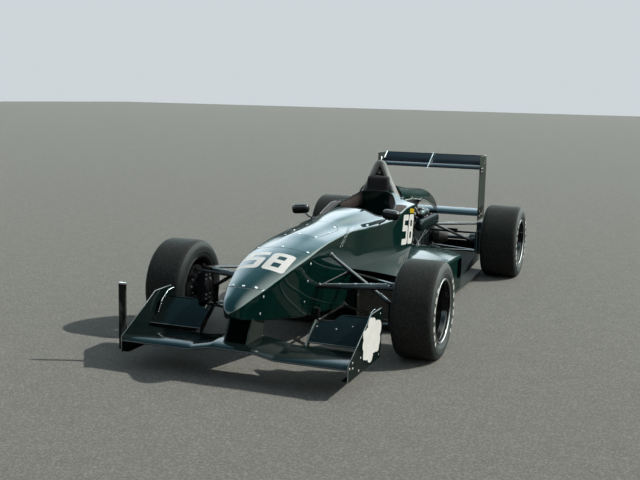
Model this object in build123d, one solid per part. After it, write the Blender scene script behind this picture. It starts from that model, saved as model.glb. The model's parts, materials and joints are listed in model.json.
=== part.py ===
from build123d import *
from math import atan2, cos, degrees, hypot, pi, radians, sin, tan
import os

# Open wheel racing car. Millimetres. The nose points along -Y, the car's left side is +X,
# the ground is z = 0, and the origin lies on the ground under the middle of the overall box.

# Driving dimensions of the whole car
wheelbase = 2650
front_overhang = 900
rear_overhang = 540
front_track = 1508
rear_track = 1457

# Wheels: tyre radius and section width at each end, and the shared 13 inch rim
front_tyre_radius = 277
rear_tyre_radius = 288
front_tyre_width = 242
rear_tyre_width = 292
bead_seat_radius = 165
flange_radius = 182.5
flange_thickness = 8
barrel_wall = 7
rim_inset = 7
bead_clearance = 0.4
wheel_plate_thickness = 22
wheel_nut_radius = 30
wheel_nut_length = 34

# Body
floor_height = 30
floor_thickness = 12
floor_half_width = 575
floor_front_station = 430
tub_half_width = 285
tub_wall = 20
nose_joint_station = -250
cockpit_front_station = 880
cockpit_rear_station = 1462
side_panel_end_station = 1490
bulkhead_station = 1560
bulkhead_half_width = 190
hoop_base_height = 720
pod_half_width = 566
pod_wall = 6
cover_wall = 5
seam_gap = 0.3

# Wings
front_wing_half_span = 622
front_wing_chord = 262
front_wing_station = -882
front_wing_height = 147
endplate_thickness = 8
endplate_front_height = 172
rear_wing_half_span = 449
rear_plate_thickness = 6
rear_plate_length = 266
rear_plate_top = 945
rear_plate_bottom = 400

# Steering: the kingpins are upright and the rack lies ahead of the front axle
kingpin_x = 617
steering_arm = 100
rack_height = 364
track_rod_outer_height = 396
rack_bar_radius = 14
track_rod_radius = 9
rod_hole_radius = 26
column_radius = 10
column_slope = 10.7
wheel_hub_station = 940
steering_wheel_height = 575
steering_wheel_radius = 115
steering_grip_radius = 11

# Suspension and hubs
upper_joint_height = 394
lower_joint_height = 172
arm_half_chord = 15
arm_half_thickness = 7
eye_radius = 14
eye_height = 20
stud_radius = 8
shaft_clearance = 0.3
hub_shaft_radius = 32
brake_disc_radius = 125
brake_disc_thickness = 20
driveshaft_radius = 14

floor_top = floor_height + floor_thickness
overall_length = front_overhang + wheelbase + rear_overhang
front_axle_y = front_overhang - overall_length / 2
rear_axle_y = front_axle_y + wheelbase


def front(station):
    """Y of a station measured back from the front axle."""
    return front_axle_y + station


def rear(station):
    """Y of a station measured back from the rear axle."""
    return rear_axle_y + station


def bay(share):
    """Y at a share of the way from the tub's rear bulkhead to the rear axle."""
    bulkhead_y = front(bulkhead_station)
    return bulkhead_y + share * (rear_axle_y - bulkhead_y)


def closed_wire(corners, middles=None):
    """Closed wire through corners; middles[i] bows the edge that leaves corner i into an arc."""
    middles = middles or {}
    edges = []
    for i, start in enumerate(corners):
        end = corners[(i + 1) % len(corners)]
        if i in middles:
            edges.append(Edge.make_three_point_arc(start, middles[i], end))
        else:
            edges.append(Edge.make_line(start, end))
    return Wire(edges)


def ruled_loft(wires):
    return Solid.make_loft(wires, ruled=True)


def prism(corners, travel, middles=None):
    """Face through 3-D corners, pushed along the vector travel."""
    return Solid.extrude(Face(closed_wire(corners, middles)), Vector(*travel))


def side_prism(profile, x_low, x_high, middles=None):
    """Profile of (y, z) points, extruded from x_low to x_high."""
    corners = [(x_low, y, z) for y, z in profile]
    middles = {i: (x_low, y, z) for i, (y, z) in (middles or {}).items()}
    return prism(corners, (x_high - x_low, 0, 0), middles)


def plan_prism(profile, z_low, z_high, middles=None):
    """Profile of (x, y) points, extruded from z_low to z_high."""
    corners = [(x, y, z_low) for x, y in profile]
    middles = {i: (x, y, z_low) for i, (x, y) in (middles or {}).items()}
    return prism(corners, (0, 0, z_high - z_low), middles)


def block(x_low, x_high, y_low, y_high, z_low, z_high):
    size = (x_high - x_low, y_high - y_low, z_high - z_low)
    return Solid.make_box(*size, Plane(origin=(x_low, y_low, z_low)))


def rod(start, end, radius):
    """Round bar from start to end."""
    along = Vector(*end) - Vector(*start)
    return Solid.make_cylinder(radius, along.length, Plane(origin=start, z_dir=along))


def blade(start, end, half_chord=arm_half_chord, half_thickness=arm_half_thickness):
    """Bar with a flattened six-sided section, its long axis level along the car."""
    along = Vector(*end) - Vector(*start)
    level = Vector(0, 0, 1).cross(along)
    plane = Plane(origin=start, x_dir=level, z_dir=along)
    section = [
        (half_chord, 0),
        (half_chord / 2, half_thickness),
        (-half_chord / 2, half_thickness),
        (-half_chord, 0),
        (-half_chord / 2, -half_thickness),
        (half_chord / 2, -half_thickness),
    ]
    corners = [tuple(plane.from_local_coords((a, b, 0))) for a, b in section]
    return Solid.extrude(Face(closed_wire(corners)), along)


def turned(profile, y, z):
    """Profile of (x, radius) points turned about the axis along X through y and z."""
    corners = [(x, y, z + r) for x, r in profile]
    face = Face(closed_wire(corners))
    return Solid.revolve(face, 360, Axis((0, y, z), (1, 0, 0)))


def joined(solids):
    return Part() + list(solids)


def right_hand(shape):
    return mirror(shape, about=Plane.YZ)


def save(name, shape):
    export_step(Compound(children=list(shape.solids())), f"parts/{name}.step")


# Nose and tub: station behind the front axle, half-width at the chine, chine height,
# crown height, underside height, half-width of the underside
hull_sections = [
    (-front_overhang, 44, 390, 404, 335, 40),
    (-700, 106, 458, 482, 288, 76),
    (-475, 154, 524, 552, 252, 104),
    (nose_joint_station, 179, 569, 600, 216, 124),
    (24, 183, 605, 645, 185, 144),
    (425, 193, 622, 674, 131, 163),
    (650, 236, 621, 692, 91, 190),
    (974, 262, 620, 706, floor_top, 225),
    (1324, tub_half_width, 680, 740, floor_top, 256),
    (side_panel_end_station, tub_half_width, 680, 770, floor_top, 256),
]


def hull_wire(section, grow=0):
    """One section of the nose or tub, grown outwards by grow, or shrunk if it is negative."""
    station, half, chine, crown, under, foot = section
    y = front(station)
    foot = foot + grow
    half = half + grow
    chine = chine + grow / 2
    corners = [
        (-foot, y, under - grow),
        (foot, y, under - grow),
        (half, y, chine),
        (-half, y, chine),
    ]
    return closed_wire(corners, {2: (0, y, crown + grow)})


def section_between(low, high, station):
    """Section at a station between two table rows."""
    share = (station - low[0]) / (high[0] - low[0])
    return tuple(a + share * (b - a) for a, b in zip(low, high))


def hull(from_station, to_station, grow=0):
    """Solid of the hull between two stations, with the table's sections between them."""
    rows = []
    for low, high in zip(hull_sections, hull_sections[1:]):
        for station in (from_station, to_station):
            if low[0] < station < high[0]:
                rows.append(section_between(low, high, station))
    rows += [row for row in hull_sections if from_station <= row[0] <= to_station]
    rows.sort()
    return ruled_loft([hull_wire(row, grow) for row in rows])


def nose_cone():
    return hull(-front_overhang, nose_joint_station)


column_direction = (0, cos(radians(column_slope)), sin(radians(column_slope)))
wheel_centre = (0, front(wheel_hub_station), steering_wheel_height)


def column_point(distance):
    """Point on the column's axis, distance ahead of the steering wheel's centre."""
    return tuple(c - distance * d for c, d in zip(wheel_centre, column_direction))


rack_station = -steering_arm
rack_block_half = 26
rack_block_top = 400
dash_station = 800
dash_thickness = 16


def tank_bay():
    """Closed bay behind the seat that the engine and the roll hoop stand on."""
    return block(
        -bulkhead_half_width,
        bulkhead_half_width,
        front(side_panel_end_station),
        front(bulkhead_station),
        floor_top,
        hoop_base_height,
    )


def monocoque():
    """Hollow tub: footwell, cockpit, seat bulkhead and the tank bay behind it."""
    shell = hull(nose_joint_station, side_panel_end_station)
    void = hull(nose_joint_station + tub_wall, cockpit_rear_station, -tub_wall)
    mouth = [
        (-130, front(cockpit_front_station)),
        (130, front(cockpit_front_station)),
        (205, front(cockpit_front_station + 90)),
        (212, front(cockpit_rear_station - 222)),
        (118, front(cockpit_rear_station)),
        (-118, front(cockpit_rear_station)),
        (-212, front(cockpit_rear_station - 222)),
        (-205, front(cockpit_front_station + 90)),
    ]
    opening = plan_prism(mouth, 480, 900)
    rack_block = block(
        -110,
        110,
        front(rack_station) - rack_block_half,
        front(rack_station) + rack_block_half,
        floor_top,
        rack_block_top,
    )
    dash = block(
        -300,
        300,
        front(dash_station),
        front(dash_station + dash_thickness),
        rack_height + 130,
        900,
    )
    inside = joined([rack_block, dash]) & hull(
        nose_joint_station + tub_wall, cockpit_rear_station, -tub_wall
    )
    tub = Part() + shell - void - opening
    tub = tub + [tank_bay(), inside]
    rack_axis = (front(rack_station), rack_height)
    rack_bore = rod((-400, *rack_axis), (400, *rack_axis), rack_bar_radius + shaft_clearance)
    rod_holes = [
        rod((side * 115, *rack_axis), (side * 400, *rack_axis), rod_hole_radius)
        for side in (-1, 1)
    ]
    column_bore = rod(column_point(-60), column_point(300), column_radius + shaft_clearance)
    return tub - [rack_bore, column_bore, *rod_holes]


def seat():
    """Bucket seat: a thin shell with raised sides, lying back between the tub's walls."""
    half = 168
    wall = 12
    base = floor_top + tub_wall + seam_gap
    outer = [
        (front(930), base + 70),
        (front(1130), base),
        (front(1230), base),
        (front(1415), base + 360),
        (front(1435), base + 520),
        (front(1375), base + 520),
        (front(1290), base + 330),
        (front(1130), base + 130),
        (front(940), base + 130),
    ]
    inner = [
        (front(920), base + 70 + wall + 4),
        (front(1132), base + wall),
        (front(1222), base + wall),
        (front(1400), base + 364),
        (front(1421), base + 600),
        (front(1200), base + 700),
        (front(900), base + 400),
    ]
    shell = side_prism(outer, -half, half)
    hollow = side_prism(inner, -half + wall, half - wall)
    return Part() + shell - hollow


def headrest():
    """Padded block behind the driver's head, standing on the bulkhead."""
    y_back = front(bulkhead_station - 43.3)
    profile = [
        (y_back - 26, hoop_base_height),
        (y_back, hoop_base_height),
        (y_back, hoop_base_height + 150),
        (y_back - 20, hoop_base_height + 150),
    ]
    return side_prism(profile, -88, 88)


hoop_tube_radius = 19
hoop_apex_height = 982
hoop_half_width = 128
hoop_corner_radius = 28


def roll_hoop():
    """Tube bent into a narrow A, standing on the bulkhead."""
    y = front(bulkhead_station - 24)
    foot = hoop_base_height
    top = hoop_apex_height - hoop_tube_radius
    slope = atan2(top - foot + 35, hoop_half_width)
    peak = top + hoop_corner_radius * (1 / cos(slope) - 1)
    route = FilletPolyline(
        (-hoop_half_width, y, foot),
        (0, y, peak),
        (hoop_half_width, y, foot),
        radius=hoop_corner_radius,
    )
    section = Plane(origin=(-hoop_half_width, y, foot), z_dir=route % 0) * Circle(hoop_tube_radius)
    hoop = sweep(section, path=route)
    below = block(-400, 400, y - 100, y + 100, foot - 60, foot)
    return Part() + hoop - below


# Engine cover: Y, half-width, and the heights of lower edge and crown over the hoop's base
cover_front_gap = 0.3
cover_rows = [
    (front(bulkhead_station) + cover_front_gap, 168, -30, 92),
    (bay(0.26), 160, -44, 48),
    (bay(0.4), 155, -60, 26),
    (bay(0.61), 150, -90, 0),
    (bay(0.88), 135, -148, -28),
    (rear(60), 118, -196, -65),
    (rear(220), 105, -244, -122),
    (rear(300), 92, -264, -165),
]


def cover_wire(row, inset):
    y, half, edge, crown = row
    half = half - inset
    edge = hoop_base_height + edge
    crown = hoop_base_height + crown - inset
    shoulder = 0.72 * half
    shoulder_height = crown - 0.22 * (crown - edge)
    corners = [
        (half, y, edge),
        (shoulder, y, shoulder_height),
        (-shoulder, y, shoulder_height),
        (-half, y, edge),
    ]
    return closed_wire(corners, {1: (0, y, crown)})


def engine_cover():
    outer = ruled_loft([cover_wire(row, 0) for row in cover_rows])
    longer = [(cover_rows[0][0] - 5, *cover_rows[0][1:])]
    longer += cover_rows[1:-1]
    longer += [(cover_rows[-1][0] + 5, *cover_rows[-1][1:])]
    lowered = [(y, half, edge - 10, crown) for y, half, edge, crown in longer]
    inner = ruled_loft([cover_wire(row, cover_wall) for row in lowered])
    return Part() + outer - [inner, beam_wing_solid()]


# Sidepod: Y, outer wall, height of the top at the outer wall, inner edge, height there
pod_rows = [
    (front(448), pod_half_width - 8, 345, 150, 380),
    (front(738), pod_half_width, 338, 150, 384),
    (front(side_panel_end_station), pod_half_width, 289, 150, 412),
    (bay(0.119), pod_half_width, 289, 150, 368),
    (bay(0.284), pod_half_width, 279, 150, 334),
    (bay(0.514), 350, 278, 150, 284),
    (bay(0.633), 300, 259, 150, 262),
]
pod_inner_edge_behind_tub = 205
outlet_shares = (0.128, 0.261)
outlet_low = 122
outlet_high = 264


def pod_wire(row, inset, under):
    y, outer, outer_top, inner, inner_top = row
    corners = [
        (inner, y, under),
        (outer - inset, y, under),
        (outer - inset, y, outer_top - inset),
        (inner, y, inner_top - inset),
    ]
    return closed_wire(corners)


def sidepod():
    """Left sidepod: one top and one outer wall, open at both ends, standing on the floor."""
    outer = ruled_loft([pod_wire(row, 0, floor_top) for row in pod_rows])
    longer = [(pod_rows[0][0] - 5, *pod_rows[0][1:])]
    longer += pod_rows[1:-1]
    longer += [(pod_rows[-1][0] + 5, *pod_rows[-1][1:])]
    inner = ruled_loft([pod_wire(row, pod_wall, floor_top - 10) for row in longer])
    tub = hull(nose_joint_station, side_panel_end_station, seam_gap)
    open_bay = block(
        0,
        pod_inner_edge_behind_tub,
        front(side_panel_end_station) - 1,
        rear(0),
        floor_top,
        500,
    )
    outlet = block(
        pod_half_width - 60,
        pod_half_width + 20,
        bay(outlet_shares[0]),
        bay(outlet_shares[1]),
        outlet_low,
        outlet_high,
    )
    return Part() + outer - [inner, tub, open_bay, outlet]


def radiators():
    """Two upright cores, set at an angle across the pods behind their mouths."""
    core = plan_prism(
        [
            (215, front(700)),
            (548, front(545)),
            (548, front(603)),
            (215, front(758)),
        ],
        floor_top,
        248,
    )
    core = Part() + core - hull(nose_joint_station, side_panel_end_station, seam_gap)
    return joined([core, right_hand(core)])


diffuser_start = -330
diffuser_end = 300
diffuser_half_width = 478
diffuser_rise = 122


def floor():
    """Flat floor, and the diffuser with its fences between the rear wheels."""
    flat_outline = [
        (-205, front(floor_front_station)),
        (205, front(floor_front_station)),
        (floor_half_width, front(floor_front_station + 20)),
        (floor_half_width, rear(-60)),
        (diffuser_half_width, rear(-20)),
        (diffuser_half_width, rear(diffuser_start)),
        (-diffuser_half_width, rear(diffuser_start)),
        (-diffuser_half_width, rear(-20)),
        (-floor_half_width, rear(-60)),
        (-floor_half_width, front(floor_front_station + 20)),
    ]
    flat = plan_prism(flat_outline, floor_height, floor_top)
    ramp_profile = [
        (rear(diffuser_start), floor_height),
        (rear(diffuser_end), floor_height + diffuser_rise),
        (rear(diffuser_end), floor_top + diffuser_rise),
        (rear(diffuser_start), floor_top),
    ]
    ramp = side_prism(ramp_profile, -diffuser_half_width, diffuser_half_width)
    fence_profile = [
        (rear(diffuser_start), floor_height),
        (rear(diffuser_end), 62),
        (rear(diffuser_end), floor_height + diffuser_rise + 1),
        (rear(diffuser_start), floor_height + 1),
    ]
    edge = diffuser_half_width - 3
    fences = [side_prism(fence_profile, x - 3, x + 3) for x in (-edge, -240, 240, edge)]
    return joined([flat, ramp, *fences])


def wing_wire(x, leading_y, leading_z, chord, depth, pitch):
    """Aerofoil section across the span at x: a round nose, two long arcs and a blunt tail."""
    nose = 0.35 * depth
    points = {
        "upper": (nose, nose),
        "tip": (0, 0),
        "lower": (nose, -nose),
        "upper_mid": (0.4 * chord, 0.55 * depth),
        "tail_top": (chord, 1.5),
        "tail_low": (chord, -1.5),
        "lower_mid": (0.4 * chord, -0.45 * depth),
    }
    turn = radians(pitch)
    placed = {
        name: (x, leading_y + c * cos(turn) - h * sin(turn), leading_z + c * sin(turn) + h * cos(turn))
        for name, (c, h) in points.items()
    }
    corners = [placed["lower"], placed["upper"], placed["tail_top"], placed["tail_low"]]
    middles = {0: placed["tip"], 1: placed["upper_mid"], 3: placed["lower_mid"]}
    return closed_wire(corners, middles)


gull_rise = 24
gull_half_width = 115
gull_end = 235
pylon_x = 62


def front_main_plane():
    """Main plane with a raised middle under the nose."""
    stations = [
        (-front_wing_half_span, 0),
        (-gull_end, 0),
        (-gull_half_width, gull_rise),
        (gull_half_width, gull_rise),
        (gull_end, 0),
        (front_wing_half_span, 0),
    ]
    wires = [
        wing_wire(x, front(front_wing_station), front_wing_height + rise, front_wing_chord, 26, 4)
        for x, rise in stations
    ]
    return ruled_loft(wires)


def front_wing():
    """Main plane and the two pylons that hang it from the nose."""
    plane = front_main_plane()
    pylon_profile = [
        (front(-830), front_wing_height + gull_rise + 6),
        (front(-655), front_wing_height + gull_rise + 6),
        (front(-590), 330),
        (front(-740), 345),
    ]
    pylons = [side_prism(pylon_profile, x - 4, x + 4) for x in (-pylon_x, pylon_x)]
    return joined([plane, *pylons]) - hull(-front_overhang, nose_joint_station)


flap_inner_x = 312


def front_flaps():
    """Flap on each side of the nose, its inner rear corner cut away."""
    flap_chord = 222
    wires = [
        wing_wire(x, front(-611), 184, flap_chord, 18, 31.4)
        for x in (flap_inner_x, front_wing_half_span)
    ]
    flap = Part() + ruled_loft(wires)
    corner = [
        (flap_inner_x - 10, front(-500)),
        (395, front(-473)),
        (443, front(-400)),
        (flap_inner_x - 10, front(-400)),
    ]
    flap = flap - plan_prism(corner, 100, 400)
    return joined([flap, right_hand(flap)])


def front_endplate():
    profile = [
        (front(front_wing_station - 1), 90),
        (front(-383), 90),
        (front(-358), 330),
        (front(-378), 350),
        (front(-546), 350),
        (front(front_wing_station - 1), endplate_front_height),
    ]
    return side_prism(
        profile, front_wing_half_span, front_wing_half_span + endplate_thickness
    )


def timing_strut():
    """Upright flat bar on a small bracket outside the right endplate."""
    inner = front_wing_half_span + endplate_thickness
    y = front(-776)
    bracket = block(-inner - 40, -inner, y - 16, y + 16, 120, 164)
    bar = block(-inner - 78, -inner - 35, y - 5, y + 5, 70, 430)
    return joined([bracket, bar])


def arm_pair(joint, inner_points):
    """Two bars meeting in an upright eye at joint."""
    solids = [blade(point, joint) for point in inner_points]
    low = (joint[0], joint[1], joint[2] - eye_height / 2)
    high = (joint[0], joint[1], joint[2] + eye_height / 2)
    hole_low = (joint[0], joint[1], joint[2] - eye_height)
    hole_high = (joint[0], joint[1], joint[2] + eye_height)
    eye = rod(low, high, eye_radius)
    return joined([*solids, eye]) - rod(hole_low, hole_high, stud_radius + shaft_clearance)


front_upper_pickups = [(152, front(-62), 361), (174, front(380), 371)]
front_lower_pickups = [(148, front(-50), 155), (164, front(345), 168)]
pivot_bar_radius = 8
pushrod_radius = 10


def front_wishbones():
    """Two arms, the bars that their inner ends turn on, and the pushrod on its bracket."""
    upper = arm_pair((kingpin_x, front(0), upper_joint_height), front_upper_pickups)
    lower = arm_pair((kingpin_x, front(0), lower_joint_height), front_lower_pickups)
    upper_bar = rod(*front_upper_pickups, pivot_bar_radius)
    lower_bar = rod(*front_lower_pickups, pivot_bar_radius)
    tab = block(128, 158, front(-66), front(-36), 150, 232)
    bracket = block(547, 569, front(24), front(58), lower_joint_height - 4, 290)
    pushrod = rod((556, front(36), 279), (145, front(68), 545), pushrod_radius)
    frame = joined([joined([upper, upper_bar]), joined([lower, lower_bar, tab, bracket, pushrod])])
    return frame - hull(-front_overhang, side_panel_end_station, seam_gap)


# Wheel corners are built on the left and mirrored. Everything on a wheel turns about X.
front_wheel_x = front_track / 2
rear_wheel_x = rear_track / 2


def tyre(centre_x, y, radius, width):
    half = width / 2
    bead = half - rim_inset - flange_thickness - bead_clearance
    seat_radius = bead_seat_radius + bead_clearance
    side = [
        (bead, seat_radius),
        (bead, flange_radius + 2),
        (half, (flange_radius + radius) / 2 - 4),
        (half - 8, radius - 20),
        (half - 30, radius),
    ]
    profile = [(centre_x - x, r) for x, r in side]
    profile += [(centre_x + x, r) for x, r in reversed(side)]
    return turned(profile, y, radius)


def rim(centre_x, y, radius, width, plate_x):
    """Barrel with a flange at each edge, a spoked plate and the centre nut."""
    half = width / 2 - rim_inset
    inner = bead_seat_radius - barrel_wall
    barrel = turned(
        [
            (centre_x - half, inner),
            (centre_x - half, flange_radius),
            (centre_x - half + flange_thickness, flange_radius),
            (centre_x - half + flange_thickness, bead_seat_radius),
            (centre_x + half - flange_thickness, bead_seat_radius),
            (centre_x + half - flange_thickness, flange_radius),
            (centre_x + half, flange_radius),
            (centre_x + half, inner),
        ],
        y,
        radius,
    )
    plate = turned(
        [
            (plate_x, 0),
            (plate_x, inner + 1),
            (plate_x + wheel_plate_thickness, inner + 1),
            (plate_x + wheel_plate_thickness, 0),
        ],
        y,
        radius,
    )
    nut = turned(
        [
            (plate_x + wheel_plate_thickness - 1, 0),
            (plate_x + wheel_plate_thickness - 1, wheel_nut_radius),
            (plate_x + wheel_plate_thickness + wheel_nut_length, wheel_nut_radius - 6),
            (plate_x + wheel_plate_thickness + wheel_nut_length, 0),
        ],
        y,
        radius,
    )
    windows = []
    window_count = 8
    for i in range(window_count):
        angle = 2 * pi * (i + 0.5) / window_count
        start = (plate_x - 5, y + 112 * cos(angle), radius + 112 * sin(angle))
        end = (plate_x + 60, start[1], start[2])
        windows.append(rod(start, end, 30))
    return joined([barrel, plate, nut]) - windows


front_plate_x = front_wheel_x - 14
rear_plate_x = rear_wheel_x - 22
disc_gap = 3


def front_hub():
    """Hub shaft, brake disc and wheel flange in one turned piece."""
    disc_x = kingpin_x + 46
    profile = [
        (kingpin_x - 34, 0),
        (kingpin_x - 34, hub_shaft_radius),
        (disc_x - 10, hub_shaft_radius),
        (disc_x - 10, 58),
        (disc_x, 58),
        (disc_x, brake_disc_radius),
        (disc_x + brake_disc_thickness, brake_disc_radius),
        (disc_x + brake_disc_thickness, 58),
        (front_plate_x, 58),
        (front_plate_x, 0),
    ]
    return turned(profile, front(0), front_tyre_radius)


def front_upright():
    """Upright with its two studs, the steering arm and the brake caliper."""
    y = front(0)
    axle = front_tyre_radius
    low_face = lower_joint_height + eye_height / 2 + 1
    high_face = upper_joint_height - eye_height / 2 - 1
    body = block(kingpin_x - 26, kingpin_x + 25, y - 36, y + 36, low_face, high_face)
    stud = rod(
        (kingpin_x, y, lower_joint_height - eye_height / 2 - 8),
        (kingpin_x, y, upper_joint_height + eye_height / 2 + 8),
        stud_radius,
    )
    arm_top = track_rod_outer_height - eye_height / 2 - 4
    arm = block(kingpin_x - 9, kingpin_x + 9, y - steering_arm, y - 30, arm_top - 16, arm_top)
    pad = rod((kingpin_x, y - steering_arm, arm_top - 16), (kingpin_x, y - steering_arm, arm_top), 13)
    disc_x = kingpin_x + 46
    caliper = block(kingpin_x + 20, disc_x + brake_disc_thickness + 22, y + 84, y + 138, axle - 34, axle + 34)
    carrier = block(kingpin_x, kingpin_x + 25, y + 30, y + 90, axle - 24, axle + 24)
    slot = block(
        disc_x - disc_gap,
        disc_x + brake_disc_thickness + disc_gap,
        y,
        y + brake_disc_radius + disc_gap,
        axle - 60,
        axle + 60,
    )
    bore = rod((kingpin_x - 60, y, axle), (kingpin_x + 60, y, axle), hub_shaft_radius + shaft_clearance)
    return joined([body, stud, arm, pad, caliper, carrier]) - [slot, bore]


def rear_hub():
    """Driveshaft with its joints, hub shaft, brake disc and wheel flange."""
    disc_x = rear_plate_x - 52
    profile = [
        (150, 0),
        (150, 42),
        (205, 42),
        (222, driveshaft_radius),
        (440, driveshaft_radius),
        (456, 40),
        (505, 40),
        (505, 34),
        (disc_x - 10, 34),
        (disc_x - 10, 58),
        (disc_x, 58),
        (disc_x, brake_disc_radius),
        (disc_x + brake_disc_thickness, brake_disc_radius),
        (disc_x + brake_disc_thickness, 58),
        (rear_plate_x, 58),
        (rear_plate_x, 0),
    ]
    return turned(profile, rear(0), rear_tyre_radius)


def rear_upright():
    """Upright with the brake caliper behind it, and the arm of the cooling scoop ahead of it."""
    y = rear(0)
    axle = rear_tyre_radius
    disc_x = rear_plate_x - 52
    body = block(512, 572, y - 40, y + 40, 168, 432)
    caliper = block(560, disc_x + brake_disc_thickness + 22, y + 84, y + 138, axle - 34, axle + 34)
    carrier = block(540, 572, y + 30, y + 100, axle - 24, axle + 24)
    link_lug = block(520, 556, y - 88, y - 30, 330, 362)
    scoop_arm = block(540, 570, y - 101, y - 30, axle - 22, axle + 14)
    slot = block(
        disc_x - disc_gap,
        disc_x + brake_disc_thickness + disc_gap,
        y,
        y + brake_disc_radius + disc_gap,
        axle - 60,
        axle + 60,
    )
    bore = rod((480, y, axle), (600, y, axle), 34 + shaft_clearance)
    cup = rod((480, y, axle), (513, y, axle), 46)
    return joined([body, caliper, carrier, link_lug, scoop_arm]) - [slot, bore, cup]


def oval_wire(x, y, z, half_width, half_height):
    """Upright slot shape with round ends, lying square to the car's length."""
    level = half_height - half_width
    corners = [
        (x - half_width, y, z - level),
        (x + half_width, y, z - level),
        (x + half_width, y, z + level),
        (x - half_width, y, z + level),
    ]
    return closed_wire(corners, {0: (x, y, z - half_height), 2: (x, y, z + half_height)})


def brake_scoops():
    """Tall oval air scoop ahead of each rear upright, open at the front."""
    y_front = rear(-195)
    y_back = rear(-101)
    outer = Solid.extrude(Face(oval_wire(555, y_front, 285, 22, 92)), Vector(0, y_back - y_front, 0))
    inner = Solid.extrude(Face(oval_wire(555, y_front - 5, 285, 18, 88)), Vector(0, y_back - y_front, 0))
    scoop = Part() + outer - inner
    return joined([scoop, right_hand(scoop)])


gearbox_half_width = 118
engine_length = 470


def gearbox_body():
    """Bell housing, gear case, rear lugs with the jack bar, and the post under the lower wing."""
    bell_wires = [
        closed_wire([(-w, y, low), (w, y, low), (w, y, high), (-w, y, high)])
        for y, w, low, high in (
            (front(bulkhead_station + engine_length), 140, 90, 440),
            (rear(-330), gearbox_half_width, 110, 430),
        )
    ]
    case_wires = [
        closed_wire([(-w, y, low), (w, y, low), (w, y, high), (-w, y, high)])
        for y, w, low, high in (
            (rear(-330), gearbox_half_width, 110, 430),
            (rear(90), gearbox_half_width, 140, 405),
            (rear(270), 85, 170, 380),
        )
    ]
    output = rod((-149, rear(0), rear_tyre_radius), (149, rear(0), rear_tyre_radius), 52)
    post = side_prism(
        [(rear(150), 370), (rear(270), 370), (rear(340), 470), (rear(240), 470)], -30, 30
    )
    lugs = [block(x - 6, x + 6, rear(262), rear(372), 215, 250) for x in (-48, 48)]
    bar = rod((-112, rear(358), 232), (112, rear(358), 232), 12)
    rockers = [block(x - 20, x + 20, rear(-192), rear(-132), 380, 454) for x in (-108, 108)]
    cases = [ruled_loft(bell_wires), ruled_loft(case_wires)]
    return joined([*cases, output, post, *lugs, bar, *rockers])


def beam_wing_solid():
    wires = [
        wing_wire(x, rear(272), 440, 170, 22, 22) for x in (-rear_wing_half_span, rear_wing_half_span)
    ]
    return ruled_loft(wires)


def gearbox():
    return gearbox_body() - beam_wing_solid()


def rain_light():
    return block(-38, 38, rear(270), rear(300), 262, 322)


def engine():
    """Four-cylinder engine: sump, block, head and two cam covers."""
    y_front = front(bulkhead_station)
    y_back = front(bulkhead_station + engine_length)
    sump = block(-130, 130, y_front, y_back, 62, 130)
    crankcase = block(-112, 112, y_front, y_back, 130, 400)
    head = block(-92, 92, y_front + 20, y_back - 10, 400, 520)
    cams = [
        rod((x, y_front + 24, 528), (x, y_back - 14, 528), 34) for x in (-48, 48)
    ]
    return joined([sump, crankcase, head, *cams])


def airbox():
    """Intake box on the engine's left with its four pipes, and a rounded tank above it."""
    box_profile = [(196, 430), (246, 434), (258, 476), (248, 520), (196, 520)]
    box = prism([(x, bay(0.248), z) for x, z in box_profile], (0, bay(0.743) - bay(0.248), 0))
    tank_corners = [(150, 512), (196, 512), (196, 566), (150, 566)]
    tank = prism(
        [(x, bay(0.404), z) for x, z in tank_corners],
        (0, bay(0.844) - bay(0.404), 0),
        {1: (206, bay(0.404), 539), 3: (140, bay(0.404), 539)},
    )
    first = bay(0.248) + 30
    last = front(bulkhead_station + engine_length) - 40
    pipes = []
    for i in range(4):
        y = first + i * (last - first) / 3
        pipes.append(rod((92, y, 470), (200, y, 480), 20))
    return joined([box, tank, *pipes]) - engine()


def exhaust():
    """Four pipes on the engine's right that meet in one tail pipe."""
    y_front = front(bulkhead_station + 80)
    collector_y = y_front + 420
    pipes = [
        rod((-92, y_front + offset, 470), (-190, y_front + offset, 470), 20)
        for offset in (0, 100, 200, 300)
    ]
    log = rod((-190, y_front - 22, 470), (-190, collector_y, 470), 26)
    tail = rod((-190, collector_y - 1, 470), (-190, rear(200), 470), 30)
    return joined([*pipes, log, tail]) - engine()


def rear_wishbones():
    """Upper and lower arm, toe link with its block, pushrod, and the stay from tub to case."""
    y = rear(0)
    upper = [
        blade(point, (540, y, 417))
        for point in ((108, rear(-299), 417), (80, rear(150), 378))
    ]
    lower = [
        blade(point, (540, y, 186))
        for point in ((100, rear(-356), 233), (80, rear(150), 190))
    ]
    link = rod((100, y - 90, 352), (545, y - 72, 346), 8)
    link_block = block(278, 360, y - 90, y - 64, 338, 372)
    pushrod = rod((545, y - 40, 248), (105, y - 160, 436), pushrod_radius)
    stay = rod((184, front(bulkhead_station - 8), 277), (112, bay(1.06), 355), 7)
    frame = joined([joined(upper), joined(lower), joined([link, link_block]), pushrod, stay])
    return frame - [gearbox_body(), rear_upright(), tank_bay()]


def rear_wing():
    """Upper main plane and flap."""
    planes = []
    for leading, height, chord, depth, pitch in (
        (rear(280), 842, 176, 22, 12),
        (rear(440), 893, 104, 14, 30),
    ):
        wires = [
            wing_wire(x, leading, height, chord, depth, pitch)
            for x in (-rear_wing_half_span, rear_wing_half_span)
        ]
        planes.append(ruled_loft(wires))
    return Part() + planes


def rear_endplate():
    profile = [
        (rear(rear_overhang - rear_plate_length), rear_plate_bottom),
        (rear(rear_overhang), rear_plate_bottom),
        (rear(rear_overhang), rear_plate_top),
        (rear(rear_overhang - rear_plate_length), rear_plate_top),
    ]
    return side_prism(
        profile, rear_wing_half_span, rear_wing_half_span + rear_plate_thickness
    )


mirror_x = 315
mirror_station = 795
mirror_height = 684
mirror_half_height = 33


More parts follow.
